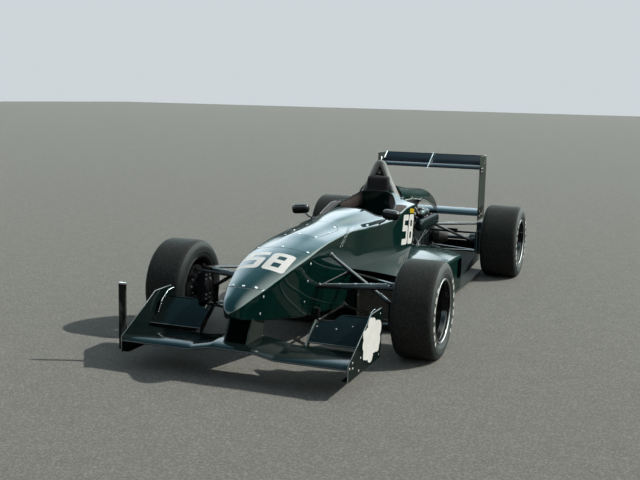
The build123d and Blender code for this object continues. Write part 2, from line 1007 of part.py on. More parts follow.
def mirrors():
    """Two flattened housings, each on a thin stalk from the cockpit side."""
    y = front(mirror_station)
    corners = [
        (mirror_x - 38, y - 27, mirror_height - mirror_half_height),
        (mirror_x + 38, y - 27, mirror_height - mirror_half_height),
        (mirror_x + 38, y - 27, mirror_height + mirror_half_height),
        (mirror_x - 38, y - 27, mirror_height + mirror_half_height),
    ]
    middles = {
        1: (mirror_x + 58, y - 27, mirror_height),
        3: (mirror_x - 58, y - 27, mirror_height),
    }
    housing = prism(corners, (0, 54, 0), middles)
    stalk = rod((205, y + 5, 594), (mirror_x - 12, y + 5, mirror_height - 12), 7)
    piece = joined([housing, stalk]) - hull(nose_joint_station, side_panel_end_station, seam_gap)
    return joined([piece, right_hand(piece)])


def steering_wheel():
    """Grip ring, three spokes, boss and the column down to the rack."""
    facing = Plane(origin=wheel_centre, x_dir=(1, 0, 0), z_dir=column_direction)
    section = []
    for i in range(6):
        turn = radians(60 * i)
        reach = steering_wheel_radius + steering_grip_radius * cos(turn)
        section.append((reach, 0, steering_grip_radius * sin(turn)))
    ring = Solid.revolve(Face(closed_wire(section)), 360, Axis((0, 0, 0), (0, 0, 1)))
    spokes = []
    for angle in (90, 210, 330):
        reach = steering_wheel_radius
        along = (reach * cos(radians(angle + 180)), reach * sin(radians(angle + 180)), 0)
        spokes.append(rod(wheel_centre, tuple(facing.from_local_coords(along)), 7))
    boss = rod(column_point(14), column_point(-14), 28)
    column_length = (wheel_hub_station - rack_station - rack_block_half - 6) / cos(radians(column_slope))
    column = rod(column_point(0), column_point(column_length), column_radius)
    return joined([facing * ring, *spokes, boss, column])


def steering_rack():
    """Rack bar with a track rod rising outwards to its eye at each end."""
    y = front(rack_station)
    outer = track_rod_outer_height
    solids = [rod((-150, y, rack_height), (150, y, rack_height), rack_bar_radius)]
    for side in (-1, 1):
        solids.append(rod((side * 140, y, rack_height), (side * kingpin_x, y, outer), track_rod_radius))
        solids.append(rod((side * kingpin_x, y, outer - 13), (side * kingpin_x, y, outer + 13), 14))
    return joined(solids)


os.makedirs("parts", exist_ok=True)

single_parts = {
    "nose_cone": nose_cone,
    "monocoque": monocoque,
    "seat": seat,
    "headrest": headrest,
    "roll_hoop": roll_hoop,
    "engine_cover": engine_cover,
    "radiators": radiators,
    "floor": floor,
    "front_wing": front_wing,
    "front_flaps": front_flaps,
    "timing_strut": timing_strut,
    "engine": engine,
    "airbox": airbox,
    "exhaust": exhaust,
    "gearbox": gearbox,
    "rain_light": rain_light,
    "rear_wing": rear_wing,
    "beam_wing": beam_wing_solid,
    "brake_scoops": brake_scoops,
    "mirrors": mirrors,
    "steering_wheel": steering_wheel,
    "steering_rack": steering_rack,
}
for name, build in single_parts.items():
    save(name, Part() + build())

front_wheel = (front_wheel_x, front(0), front_tyre_radius, front_tyre_width)
rear_wheel = (rear_wheel_x, rear(0), rear_tyre_radius, rear_tyre_width)
paired_parts = {
    "sidepod": sidepod(),
    "front_endplate": front_endplate(),
    "rear_endplate": rear_endplate(),
    "front_wishbones": front_wishbones(),
    "rear_wishbones": rear_wishbones(),
    "front_upright": front_upright(),
    "rear_upright": rear_upright(),
    "front_tyre": tyre(*front_wheel),
    "rear_tyre": tyre(*rear_wheel),
    "front_rim": rim(*front_wheel, front_plate_x),
    "rear_rim": rim(*rear_wheel, rear_plate_x),
    "front_hub": front_hub(),
    "rear_hub": rear_hub(),
}
for name, shape in paired_parts.items():
    left = Part() + shape
    save(f"{name}_left", left)
    save(f"{name}_right", right_hand(left))
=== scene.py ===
import json
import math

import bpy
import bmesh
from mathutils import Matrix, Vector


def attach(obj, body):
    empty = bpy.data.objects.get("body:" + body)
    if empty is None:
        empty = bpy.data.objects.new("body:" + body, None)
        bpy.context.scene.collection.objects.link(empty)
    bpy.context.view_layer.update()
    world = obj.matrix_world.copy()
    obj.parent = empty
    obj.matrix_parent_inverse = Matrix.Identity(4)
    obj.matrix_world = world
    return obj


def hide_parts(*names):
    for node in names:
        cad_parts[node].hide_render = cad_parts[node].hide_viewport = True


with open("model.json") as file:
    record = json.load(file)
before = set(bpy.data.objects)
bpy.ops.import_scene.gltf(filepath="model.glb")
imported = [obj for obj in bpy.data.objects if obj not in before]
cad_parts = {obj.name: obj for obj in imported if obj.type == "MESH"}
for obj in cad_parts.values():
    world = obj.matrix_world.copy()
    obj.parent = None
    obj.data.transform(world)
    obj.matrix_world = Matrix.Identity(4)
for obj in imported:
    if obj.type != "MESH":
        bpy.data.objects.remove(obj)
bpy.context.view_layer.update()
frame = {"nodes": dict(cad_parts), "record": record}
nodes = frame["nodes"]


# ---------------------------------------------------------------- frame values, metres
FRONT_Y = -1.145
REAR_Y = 1.505
BULKHEAD = 1560.0
HOOP_BASE = 720.0


def front(station):
    return FRONT_Y + station / 1000.0


def rear(station):
    return REAR_Y + station / 1000.0


def bay_station(share):
    return BULKHEAD + share * (2650.0 - BULKHEAD)


# ---------------------------------------------------------------- materials
GLOSS = 0.45


def socket(shader, name, value):
    shader.inputs[name].default_value = value


def material(
    name,
    color,
    rough,
    metallic=0.0,
    coat=0.0,
    coat_rough=0.05,
    second=None,
    scale=9.0,
    blend_low=0.35,
    blend_high=0.7,
    rough_vary=0.06,
    dust=None,
    dust_low=0.0,
    dust_high=0.3,
    dust_amount=0.0,
    bump=0.0,
    bump_scale=200.0,
    bump_depth=0.002,
    coat_ior=1.5,
    specular=0.0,
    stretch=(1, 1, 1),
    speckle=None,
    speckle_scale=400.0,
):
    """Procedural finish: two colours mixed by noise, dust that thins with height, fine bump."""
    mat = bpy.data.materials.new(name)
    mat.use_nodes = True
    tree = mat.node_tree
    tree.nodes.clear()
    out = tree.nodes.new("ShaderNodeOutputMaterial")
    shader = tree.nodes.new("ShaderNodeBsdfPrincipled")
    tree.links.new(shader.outputs[0], out.inputs[0])
    socket(shader, "Metallic", metallic)
    socket(shader, "Coat Weight", coat * GLOSS)
    socket(shader, "Coat Roughness", coat_rough)
    socket(shader, "Coat IOR", coat_ior)
    socket(shader, "Specular IOR Level", specular * GLOSS)
    coords = tree.nodes.new("ShaderNodeTexCoord")
    mapping = tree.nodes.new("ShaderNodeMapping")
    mapping.inputs["Scale"].default_value = stretch
    tree.links.new(coords.outputs["Object"], mapping.inputs["Vector"])
    noise = tree.nodes.new("ShaderNodeTexNoise")
    noise.inputs["Scale"].default_value = scale
    noise.inputs["Detail"].default_value = 6.0
    noise.inputs["Roughness"].default_value = 0.62
    tree.links.new(mapping.outputs[0], noise.inputs["Vector"])
    step = tree.nodes.new("ShaderNodeMapRange")
    step.inputs["From Min"].default_value = blend_low
    step.inputs["From Max"].default_value = blend_high
    tree.links.new(noise.outputs["Fac"], step.inputs["Value"])
    if second is None:
        second = tuple(min(1.0, c * 0.78) for c in color)
    mix = tree.nodes.new("ShaderNodeMix")
    mix.data_type = "RGBA"
    mix.inputs["A"].default_value = (*color, 1)
    mix.inputs["B"].default_value = (*second, 1)
    tree.links.new(step.outputs[0], mix.inputs["Factor"])
    tint = mix.outputs["Result"]
    if speckle is not None:
        grit = tree.nodes.new("ShaderNodeTexVoronoi")
        grit.inputs["Scale"].default_value = speckle_scale
        tree.links.new(mapping.outputs[0], grit.inputs["Vector"])
        sieve = tree.nodes.new("ShaderNodeMapRange")
        sieve.inputs["From Min"].default_value = 0.0
        sieve.inputs["From Max"].default_value = 1.0
        sieve.inputs["To Min"].default_value = 0.0
        sieve.inputs["To Max"].default_value = 0.8
        tree.links.new(grit.outputs["Distance"], sieve.inputs["Value"])
        stone = tree.nodes.new("ShaderNodeMix")
        stone.data_type = "RGBA"
        stone.inputs["B"].default_value = (*speckle, 1)
        tree.links.new(sieve.outputs[0], stone.inputs["Factor"])
        tree.links.new(tint, stone.inputs["A"])
        tint = stone.outputs["Result"]
    if dust_amount > 0:
        split = tree.nodes.new("ShaderNodeSeparateXYZ")
        tree.links.new(coords.outputs["Object"], split.inputs[0])
        fall = tree.nodes.new("ShaderNodeMapRange")
        fall.inputs["From Min"].default_value = dust_low
        fall.inputs["From Max"].default_value = dust_high
        fall.inputs["To Min"].default_value = dust_amount
        fall.inputs["To Max"].default_value = 0.0
        tree.links.new(split.outputs["Z"], fall.inputs["Value"])
        patch = tree.nodes.new("ShaderNodeTexNoise")
        patch.inputs["Scale"].default_value = scale * 2.3
        patch.inputs["Detail"].default_value = 8.0
        tree.links.new(coords.outputs["Object"], patch.inputs["Vector"])
        product = tree.nodes.new("ShaderNodeMath")
        product.operation = "MULTIPLY"
        tree.links.new(fall.outputs[0], product.inputs[0])
        tree.links.new(patch.outputs["Fac"], product.inputs[1])
        dusty = tree.nodes.new("ShaderNodeMix")
        dusty.data_type = "RGBA"
        dusty.inputs["B"].default_value = (*(dust or (0.2, 0.18, 0.15)), 1)
        tree.links.new(product.outputs[0], dusty.inputs["Factor"])
        tree.links.new(tint, dusty.inputs["A"])
        tint = dusty.outputs["Result"]
    tree.links.new(tint, shader.inputs["Base Color"])
    vary = tree.nodes.new("ShaderNodeMapRange")
    vary.inputs["To Min"].default_value = max(0.02, rough - rough_vary)
    vary.inputs["To Max"].default_value = min(1.0, rough + rough_vary)
    tree.links.new(noise.outputs["Fac"], vary.inputs["Value"])
    tree.links.new(vary.outputs[0], shader.inputs["Roughness"])
    if bump > 0:
        grain = tree.nodes.new("ShaderNodeTexNoise")
        grain.inputs["Scale"].default_value = bump_scale
        grain.inputs["Detail"].default_value = 4.0
        tree.links.new(mapping.outputs[0], grain.inputs["Vector"])
        relief = tree.nodes.new("ShaderNodeBump")
        relief.inputs["Strength"].default_value = bump
        relief.inputs["Distance"].default_value = bump_depth
        tree.links.new(grain.outputs["Fac"], relief.inputs["Height"])
        tree.links.new(relief.outputs[0], shader.inputs["Normal"])
    return mat


DUST = (0.12, 0.115, 0.10)
mats = {
    "body_green": material(
        "body_green", (0.0009, 0.0150, 0.0118), 0.42, metallic=0.12, coat=1.0, coat_rough=0.045, coat_ior=1.42,
        second=(0.0007, 0.012, 0.0095), scale=3.0, dust=DUST, dust_low=0.02, dust_high=0.35, dust_amount=0.04,
    ),
    "wing_grey": material(
        "wing_grey", (0.004, 0.0115, 0.0105), 0.45, coat=0.8, coat_rough=0.11, coat_ior=1.36,
        second=(0.003, 0.008, 0.0075), scale=7.0, dust=DUST, dust_low=0.05, dust_high=0.4, dust_amount=0.06,
    ),
    "flap_black": material(
        "flap_black", (0.002, 0.0062, 0.0062), 0.42, coat=0.3, coat_rough=0.2,
        second=(0.0035, 0.0085, 0.008), scale=10.0, dust=DUST, dust_low=0.05, dust_high=0.4, dust_amount=0.05,
    ),
    "rear_wing_blue": material(
        "rear_wing_blue", (0.009, 0.012, 0.017), 0.34, coat=0.45, coat_rough=0.12,
        second=(0.007, 0.0095, 0.0135), scale=5.0,
    ),
    "teal": material(
        "teal", (0.05, 0.10, 0.115), 0.3, coat=0.8, coat_rough=0.1,
        second=(0.04, 0.085, 0.098), scale=5.0,
    ),
    "underbody": material(
        "underbody", (0.007, 0.0085, 0.008), 0.7, second=(0.016, 0.016, 0.015), scale=6.0,
        dust=DUST, dust_low=0.02, dust_high=0.2, dust_amount=0.08, bump=0.15, bump_scale=300.0, specular=0.1,
    ),
    "black_metal": material(
        "black_metal", (0.008, 0.0085, 0.009), 0.38, coat=0.35, coat_rough=0.2,
        second=(0.018, 0.018, 0.017), scale=22.0, dust=DUST, dust_low=0.0, dust_high=0.6, dust_amount=0.06,
    ),
    "hoop_grey": material(
        "hoop_grey", (0.36, 0.375, 0.36), 0.32, coat=0.4, coat_rough=0.1, second=(0.29, 0.3, 0.29), scale=14.0,
    ),
    "engine_alloy": material(
        "engine_alloy", (0.010, 0.017, 0.016), 0.6, second=(0.004, 0.007, 0.007), scale=16.0,
        bump=0.4, bump_scale=260.0, rough_vary=0.14, specular=0.12,
    ),
    "gearbox_alloy": material(
        "gearbox_alloy", (0.010, 0.014, 0.014), 0.6, second=(0.004, 0.006, 0.006), scale=14.0,
        bump=0.4, bump_scale=240.0, rough_vary=0.14, specular=0.12,
    ),
    "airbox_grey": material(
        "airbox_grey", (0.009, 0.022, 0.021), 0.42, coat=0.3, coat_rough=0.15, second=(0.005, 0.012, 0.012), scale=8.0,
    ),
    "exhaust_steel": material(
        "exhaust_steel", (0.24, 0.19, 0.15), 0.35, metallic=0.95, second=(0.09, 0.07, 0.08), scale=9.0, rough_vary=0.15,
    ),
    "core_black": material(
        "core_black", (0.10, 0.092, 0.08), 0.6, metallic=0.0, second=(0.06, 0.055, 0.05), scale=30.0,
        bump=0.5, bump_scale=400.0, specular=0.2,
    ),
    "seat_pad": material(
        "seat_pad", (0.03, 0.028, 0.026), 0.8, second=(0.02, 0.018, 0.017), scale=12.0, bump=0.3, bump_scale=500.0,
        specular=0.2,
    ),
    "pad_grey": material(
        "pad_grey", (0.022, 0.021, 0.023), 0.85, second=(0.032, 0.03, 0.031), scale=14.0, bump=0.4, bump_scale=600.0,
        specular=0.2,
    ),
    "rubber_tyre": material(
        "rubber_tyre", (0.005, 0.0068, 0.0062), 0.62, second=(0.014, 0.015, 0.0135), scale=12.0,
        blend_low=0.42, blend_high=0.75, bump=0.3, bump_scale=160.0, specular=0.14, rough_vary=0.1,
    ),
    "rim_black": material(
        "rim_black", (0.007, 0.0078, 0.0085), 0.3, coat=0.5, coat_rough=0.12, second=(0.016, 0.016, 0.015), scale=20.0,
    ),
    "disc_iron": material(
        "disc_iron", (0.045, 0.046, 0.047), 0.35, metallic=0.8, second=(0.02, 0.02, 0.02), scale=18.0, rough_vary=0.12,
    ),
    "upright_metal": material(
        "upright_metal", (0.035, 0.037, 0.04), 0.4, metallic=0.7, second=(0.012, 0.013, 0.014), scale=20.0,
        bump=0.2, bump_scale=300.0,
    ),
    "lamp_red": material(
        "lamp_red", (0.2, 0.004, 0.004), 0.18, coat=0.8, coat_rough=0.05, second=(0.14, 0.003, 0.003), scale=40.0,
    ),
    "grip_black": material(
        "grip_black", (0.008, 0.008, 0.008), 0.75, second=(0.014, 0.014, 0.014), scale=60.0, bump=0.4, bump_scale=700.0,
        specular=0.2,
    ),
    "mirror_black": material(
        "mirror_black", (0.006, 0.007, 0.0075), 0.32, coat=0.7, coat_rough=0.1, second=(0.010, 0.010, 0.011), scale=20.0,
    ),
}
extra = {
    "tyre_tread": material(
        "tyre_tread", (0.0085, 0.0095, 0.0088), 0.8, second=(0.019, 0.0185, 0.0165), scale=9.0, blend_low=0.45,
        blend_high=0.8, bump=0.5, bump_scale=260.0, specular=0.15, rough_vary=0.08, dust=(0.05, 0.047, 0.04),
        dust_low=0.3, dust_high=0.31, dust_amount=0.0, speckle=(0.035, 0.036, 0.033), speckle_scale=70.0,
    ),
    "tyre_wall": material(
        "tyre_wall", (0.0085, 0.0105, 0.0098), 0.6, second=(0.015, 0.016, 0.0145), scale=14.0, blend_low=0.4,
        blend_high=0.8, bump=0.25, bump_scale=220.0, specular=0.2, rough_vary=0.1,
    ),
    "rim_lip": material(
        "rim_lip", (0.16, 0.165, 0.16), 0.32, metallic=0.6, coat=0.4, second=(0.1, 0.103, 0.1), scale=26.0, specular=0.5,
    ),
    "white_mark": material(
        "white_mark", (0.8, 0.81, 0.79), 0.35, coat=0.4, coat_rough=0.1, second=(0.72, 0.73, 0.7), scale=16.0,
    ),
    "tyre_paint": material(
        "tyre_paint", (0.6, 0.6, 0.57), 0.7, second=(0.22, 0.22, 0.2), scale=70.0, specular=0.2,
    ),
    # dark colour for real joints, also used for the box between the pylons as painted shade
    "seam_and_shade_dark": material("seam_and_shade_dark", (0.0015, 0.003, 0.003), 0.6, second=(0.003, 0.005, 0.005), scale=20.0),
    "edge_bright": material(
        "edge_bright", (0.55, 0.56, 0.55), 0.28, metallic=0.9, second=(0.35, 0.35, 0.34), scale=30.0,
    ),
    # pale colour for thin lines laid along edges as painted highlights
    "painted_highlight_pale": material(
        "painted_highlight_pale", (0.3, 0.34, 0.33), 0.3, coat=0.6, coat_rough=0.1, second=(0.2, 0.24, 0.23), scale=24.0,
    ),
    "plate_grey": material(
        "plate_grey", (0.05, 0.062, 0.055), 0.4, coat=0.3, coat_rough=0.2, second=(0.04, 0.05, 0.045), scale=6.0,
        dust=DUST, dust_low=0.3, dust_high=0.9, dust_amount=0.1,
    ),
    "steel": material("steel", (0.3, 0.3, 0.29), 0.3, metallic=1.0, second=(0.14, 0.14, 0.135), scale=40.0),
    "yellow_mark": material(
        "yellow_mark", (0.62, 0.45, 0.03), 0.35, coat=0.4, coat_rough=0.1, second=(0.52, 0.36, 0.03), scale=18.0,
    ),
    "belt_blue": material(
        "belt_blue", (0.02, 0.02, 0.03), 0.85, second=(0.03, 0.03, 0.042), scale=90.0, bump=0.5, bump_scale=900.0,
        specular=0.2,
    ),
    "hose_black": material(
        "hose_black", (0.008, 0.008, 0.009), 0.5, second=(0.014, 0.013, 0.013), scale=60.0, bump=0.3, bump_scale=800.0,
        specular=0.35,
    ),
    "hose_braid": material(
        "hose_braid", (0.2, 0.2, 0.195), 0.42, metallic=0.85, second=(0.08, 0.08, 0.078), scale=220.0, bump=0.7,
        bump_scale=900.0,
    ),
    "anodised_blue": material(
        "anodised_blue", (0.01, 0.02, 0.045), 0.35, metallic=0.7, second=(0.008, 0.014, 0.03), scale=30.0,
    ),
    "anodised_red": material(
        "anodised_red", (0.05, 0.012, 0.012), 0.3, metallic=0.8, second=(0.11, 0.008, 0.008), scale=30.0,
    ),
    "spring_grey": material(
        "spring_grey", (0.03, 0.036, 0.036), 0.35, coat=0.5, coat_rough=0.12, second=(0.02, 0.024, 0.024), scale=30.0,
    ),
    "glass_mirror": material(
        "glass_mirror", (0.75, 0.77, 0.78), 0.05, metallic=1.0, second=(0.7, 0.72, 0.73), scale=8.0, rough_vary=0.02,
    ),
    "screen_smoke": material(
        "screen_smoke", (0.004, 0.006, 0.0065), 0.12, coat=1.0, coat_rough=0.03, second=(0.006, 0.008, 0.009), scale=6.0,
    ),
    "lens_red": material(
        "lens_red", (0.3, 0.005, 0.005), 0.15, coat=1.0, coat_rough=0.04, second=(0.22, 0.004, 0.004), scale=60.0,
    ),
    "pad_brown": material(
        "pad_brown", (0.0384, 0.0285, 0.0260), 0.8, second=(0.0279, 0.0211, 0.0198), scale=18.0, bump=0.4, bump_scale=500.0,
        specular=0.2,
    ),
    "plate_alloy": material(
        "plate_alloy", (0.16, 0.165, 0.165), 0.36, metallic=0.85, second=(0.11, 0.112, 0.112), scale=30.0,
    ),
    "edge_dull": material(
        "edge_dull", (0.11, 0.13, 0.125), 0.4, metallic=0.3, coat=0.5, coat_rough=0.15, second=(0.07, 0.085, 0.082), scale=40.0,
    ),
    "pylon_grey": material(
        "pylon_grey", (0.028, 0.034, 0.031), 0.5, coat=0.3, coat_rough=0.25, second=(0.018, 0.024, 0.022), scale=12.0,
        dust=DUST, dust_low=0.1, dust_high=0.35, dust_amount=0.2,
    ),
    "tank_metal": material(
        "tank_metal", (0.012, 0.028, 0.028), 0.35, metallic=0.2, coat=0.3, second=(0.008, 0.018, 0.018), scale=20.0,
    ),
    "arm_black": material(
        "arm_black", (0.0045, 0.005, 0.005), 0.3, coat=1.0, coat_rough=0.06, coat_ior=1.6,
        second=(0.008, 0.008, 0.008), scale=22.0,
    ),
    "arm_dull": material(
        "arm_dull", (0.004, 0.0045, 0.0045), 0.4, coat=0.25, coat_rough=0.2, second=(0.008, 0.008, 0.008), scale=22.0,
        specular=0.2,
    ),
    "bolt_bright": material(
        "bolt_bright", (0.55, 0.56, 0.54), 0.3, metallic=0.6, second=(0.3, 0.3, 0.29), scale=40.0,
    ),
    "core_tube": material(
        "core_tube", (0.16, 0.145, 0.12), 0.55, metallic=0.2, second=(0.1, 0.09, 0.075), scale=30.0, specular=0.3,
    ),
    "strut_grey": material(
        "strut_grey", (0.012, 0.013, 0.013), 0.5, coat=0.5, coat_rough=0.2, second=(0.075, 0.08, 0.078), scale=16.0,
        blend_low=0.5, blend_high=0.62, stretch=(1, 1, 0.4),
    ),
    "filter_dark": material(
        "filter_dark", (0.02, 0.022, 0.03), 0.35, coat=0.5, coat_rough=0.1, second=(0.014, 0.015, 0.022), scale=12.0,
    ),
    "boot_grey": material(
        "boot_grey", (0.045, 0.042, 0.04), 0.6, second=(0.03, 0.029, 0.028), scale=24.0, specular=0.3, bump=0.2, bump_scale=300.0,
    ),
    "lip_dark": material(
        "lip_dark", (0.0035, 0.0035, 0.005), 0.8, second=(0.005, 0.005, 0.006), scale=10.0, specular=0.0,
    ),
    # pale beige for the line along the engine cover's lower edge, a painted highlight
    "painted_highlight_beige": material(
        "painted_highlight_beige", (0.16, 0.17, 0.15), 0.5, second=(0.09, 0.1, 0.09), scale=14.0, specular=0.3,
    ),
    "gauge_face": material(
        "gauge_face", (0.01, 0.01, 0.011), 0.4, coat=1.0, coat_rough=0.03, second=(0.015, 0.015, 0.016), scale=30.0,
    ),
}

slot_of = {part["node"]: part["material_slot"] for part in frame["record"]["subparts"]}
for node_name, node in nodes.items():
    node.data.materials.clear()
    node.data.materials.append(mats[slot_of[node_name]])
for node_name, finish in (
    ("rear_endplate_left", "plate_grey"), ("rear_endplate_right", "plate_grey"), ("timing_strut", "strut_grey"),
):
    node = nodes[node_name]
    node.data.materials.clear()
    node.data.materials.append(extra[finish])


# ---------------------------------------------------------------- mesh helpers
def mesh_object(name, verts, faces, mat, body="root", slot=None, smooth=True, sharp=None):
    mesh = bpy.data.meshes.new(name)
    mesh.from_pydata([tuple(v) for v in verts], [], faces)
    mesh.validate()
    obj = bpy.data.objects.new(name, mesh)
    bpy.context.scene.collection.objects.link(obj)
    finish_mesh(obj, mat, smooth, sharp)
    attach(obj, body)
    return obj


def finish_mesh(obj, mat, smooth=True, sharp=None):
    obj.data.materials.clear()
    obj.data.materials.append(mat)
    tidy = bmesh.new()
    tidy.from_mesh(obj.data)
    bmesh.ops.recalc_face_normals(tidy, faces=tidy.faces)
    tidy.to_mesh(obj.data)
    tidy.free()
    if smooth:
        obj.data.shade_smooth()
        if sharp is not None:
            obj.data.set_sharp_from_angle(angle=math.radians(sharp))
    else:
        obj.data.shade_flat()


def grid_faces(rows, columns, wrap_columns=False, wrap_rows=False, offset=0):
    faces = []
    for i in range(rows if wrap_rows else rows - 1):
        for j in range(columns if wrap_columns else columns - 1):
            a = i * columns + j
            b = i * columns + (j + 1) % columns
            c = ((i + 1) % rows) * columns + (j + 1) % columns
            d = ((i + 1) % rows) * columns + j
            faces.append((a + offset, b + offset, c + offset, d + offset))
    return faces


def loft(name, sections, mat, body="root", slot=None, caps=True, sharp=35, smooth=True):
    """Skin over closed sections that all have the same number of points."""
    count = len(sections[0])
    verts = [p for section in sections for p in section]
    faces = grid_faces(len(sections), count, wrap_columns=True)
    if caps:
        faces.append(tuple(range(count)))
        faces.append(tuple(reversed(range(len(verts) - count, len(verts)))))
    return mesh_object(name, verts, faces, mat, body, slot, smooth, sharp)


def lathe_points(profile, steps, centre, start=0.0):
    """Rings about the X axis from (x, radius) points."""
    rings = []
    for k in range(steps):
        turn = start + 2 * math.pi * k / steps
        ring = [
            (centre[0] + x, centre[1] + r * math.cos(turn), centre[2] + r * math.sin(turn))
            for x, r in profile
        ]
        rings.append(ring)
    return rings


def lathe(name, profile, steps, centre, mat, body, slot=None, closed=True, sharp=35):
    rings = lathe_points(profile, steps, centre)
    count = len(profile)
    verts = [p for ring in rings for p in ring]
    faces = grid_faces(steps, count, wrap_columns=closed, wrap_rows=True)
    return mesh_object(name, verts, faces, mat, body, slot, True, sharp)


def tube(name, path, radius, mat, body="root", slot=None, sides=12, caps=True):
    """Round bar through points, with one radius or one for each point."""
    path = [Vector(p) for p in path]
    radii = radius if isinstance(radius, (list, tuple)) else [radius] * len(path)
    rings = []
    previous = None
    for i, point in enumerate(path):
        if i == 0:
            along = path[1] - path[0]
        elif i == len(path) - 1:
            along = path[-1] - path[-2]
        else:
            along = (path[i + 1] - path[i]).normalized() + (path[i] - path[i - 1]).normalized()
        along.normalize()
        if previous is None:
            side = along.cross(Vector((0, 0, 1)))
            if side.length < 1e-3:
                side = along.cross(Vector((0, 1, 0)))
        else:
            side = previous - along * previous.dot(along)
        side.normalize()
        previous = side
        other = along.cross(side)
        rings.append(
            [
                tuple(point + (side * math.cos(a) + other * math.sin(a)) * radii[i])
                for a in (2 * math.pi * k / sides for k in range(sides))
            ]
        )
    return loft(name, rings, mat, body, slot, caps, sharp=40)


def box_object(name, low, high, mat, body="root", bevel=0.0, turn=None):
    """Box with softened edges; turn is (axis, degrees) about its middle."""
    tidy = bmesh.new()
    bmesh.ops.create_cube(tidy, size=1.0)
    size = [h - l for l, h in zip(low, high)]
    middle = Vector([(h + l) / 2 for l, h in zip(low, high)])
    bmesh.ops.scale(tidy, vec=size, verts=tidy.verts)
    if bevel:
        bmesh.ops.bevel(tidy, geom=list(tidy.edges), offset=bevel, segments=2, profile=0.7, affect="EDGES")
    if turn:
        bmesh.ops.rotate(tidy, verts=tidy.verts, cent=(0, 0, 0), matrix=Matrix.Rotation(math.radians(turn[1]), 3, turn[0]))
    bmesh.ops.translate(tidy, vec=middle, verts=tidy.verts)
    mesh = bpy.data.meshes.new(name)
    tidy.to_mesh(mesh)
    tidy.free()
    obj = bpy.data.objects.new(name, mesh)
    bpy.context.scene.collection.objects.link(obj)
    finish_mesh(obj, mat, True, 40)
    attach(obj, body)
    return obj


def join(name, objects):
    """Several meshes made into one piece that keeps the first one's body."""
    tidy = bmesh.new()
    materials = []
    for obj in objects:
        for mat in obj.data.materials:
            if mat not in materials:
                materials.append(mat)
    for obj in objects:
        part = bmesh.new()
        part.from_mesh(obj.data)
        index = materials.index(obj.data.materials[0])
        for face in part.faces:
            face.material_index = index
        scratch = bpy.data.meshes.new("scratch")
        part.to_mesh(scratch)
        part.free()
        tidy.from_mesh(scratch)
        bpy.data.meshes.remove(scratch)
    mesh = bpy.data.meshes.new(name)
    tidy.to_mesh(mesh)
    tidy.free()
    keep = objects[0]
    keep.data = mesh
    keep.name = name
    for mat in materials:
        mesh.materials.append(mat)
    for obj in objects[1:]:
        bpy.data.objects.remove(obj)
    return keep


def boolean(obj, cutter, operation="DIFFERENCE"):
    mod = obj.modifiers.new("cut", "BOOLEAN")
    mod.object = cutter
    mod.operation = operation
    mod.solver = "EXACT"
    deps = bpy.context.evaluated_depsgraph_get()
    result = bpy.data.meshes.new_from_object(obj.evaluated_get(deps))
    obj.modifiers.clear()
    obj.data = result
    return obj


def loose(name, verts, faces):
    """Helper mesh that is used for a cut and then removed."""
    mesh = bpy.data.meshes.new(name)
    mesh.from_pydata([tuple(v) for v in verts], [], faces)
    mesh.validate()
    obj = bpy.data.objects.new(name, mesh)
    bpy.context.scene.collection.objects.link(obj)
    tidy = bmesh.new()
    tidy.from_mesh(mesh)
    bmesh.ops.recalc_face_normals(tidy, faces=tidy.faces)
    tidy.to_mesh(mesh)
    tidy.free()
    return obj


def remove(*objects):
    for obj in objects:
        bpy.data.objects.remove(obj)


def smooth_between(table, column, at):
    """Monotone cubic through the rows of a table, read at a value of its first column."""
    xs = [row[0] for row in table]
    ys = [row[column] for row in table]
    if at <= xs[0]:
        return ys[0]
    if at >= xs[-1]:
        return ys[-1]
    n = len(xs)
    step = [xs[i + 1] - xs[i] for i in range(n - 1)]
    slope = [(ys[i + 1] - ys[i]) / step[i] for i in range(n - 1)]
    tangent = [slope[0]] + [0.0] * (n - 2) + [slope[-1]]
    for i in range(1, n - 1):
        if slope[i - 1] * slope[i] > 0:
            w1 = 2 * step[i] + step[i - 1]
            w2 = step[i] + 2 * step[i - 1]
            tangent[i] = (w1 + w2) / (w1 / slope[i - 1] + w2 / slope[i])
    k = max(i for i in range(n - 1) if xs[i] <= at)
    t = (at - xs[k]) / step[k]
    h00 = 2 * t ** 3 - 3 * t ** 2 + 1
    h10 = t ** 3 - 2 * t ** 2 + t
    h01 = -2 * t ** 3 + 3 * t ** 2
    h11 = t ** 3 - t ** 2
    return h00 * ys[k] + h10 * step[k] * tangent[k] + h01 * ys[k + 1] + h11 * step[k] * tangent[k + 1]


def ease(low, high, value):
    t = min(1.0, max(0.0, (value - low) / (high - low)))
    return t * t * (3 - 2 * t)


# ---------------------------------------------------------------- nose and tub skin
# station, half-width at the chine, chine height, crown height, underside height, underside half-width (mm)
HULL = [
    (-900, 44, 390, 403, 335, 40),
    (-850, 58, 405, 421, 323, 49),
    (-775, 81, 432, 453, 306, 62),
    (-700, 106, 458, 482, 288, 76),
    (-625, 123, 481, 507, 276, 87),
    (-550, 140, 503, 530, 264, 96),
    (-475, 154, 524, 552, 252, 104),
    (-400, 165, 541, 571, 240, 111),
    (-250, 179, 569, 600, 216, 124),
    (-100, 181, 592, 625, 199, 135),
    (24, 183, 605, 645, 185, 144),
    (425, 193, 622, 674, 131, 163),
    (575, 223, 622, 686, 104, 180),
    (725, 243, 620, 696, 80, 198),
    (974, 262, 620, 706, 42, 225),
    (1150, 276, 650, 722, 42, 242),
    (1324, 283, 678, 740, 42, 254),
    (1490, 285, 681, 770, 42, 256),
]


def hull_row(station):
    return [smooth_between(HULL, column, station) for column in (1, 2, 3, 4, 5)]


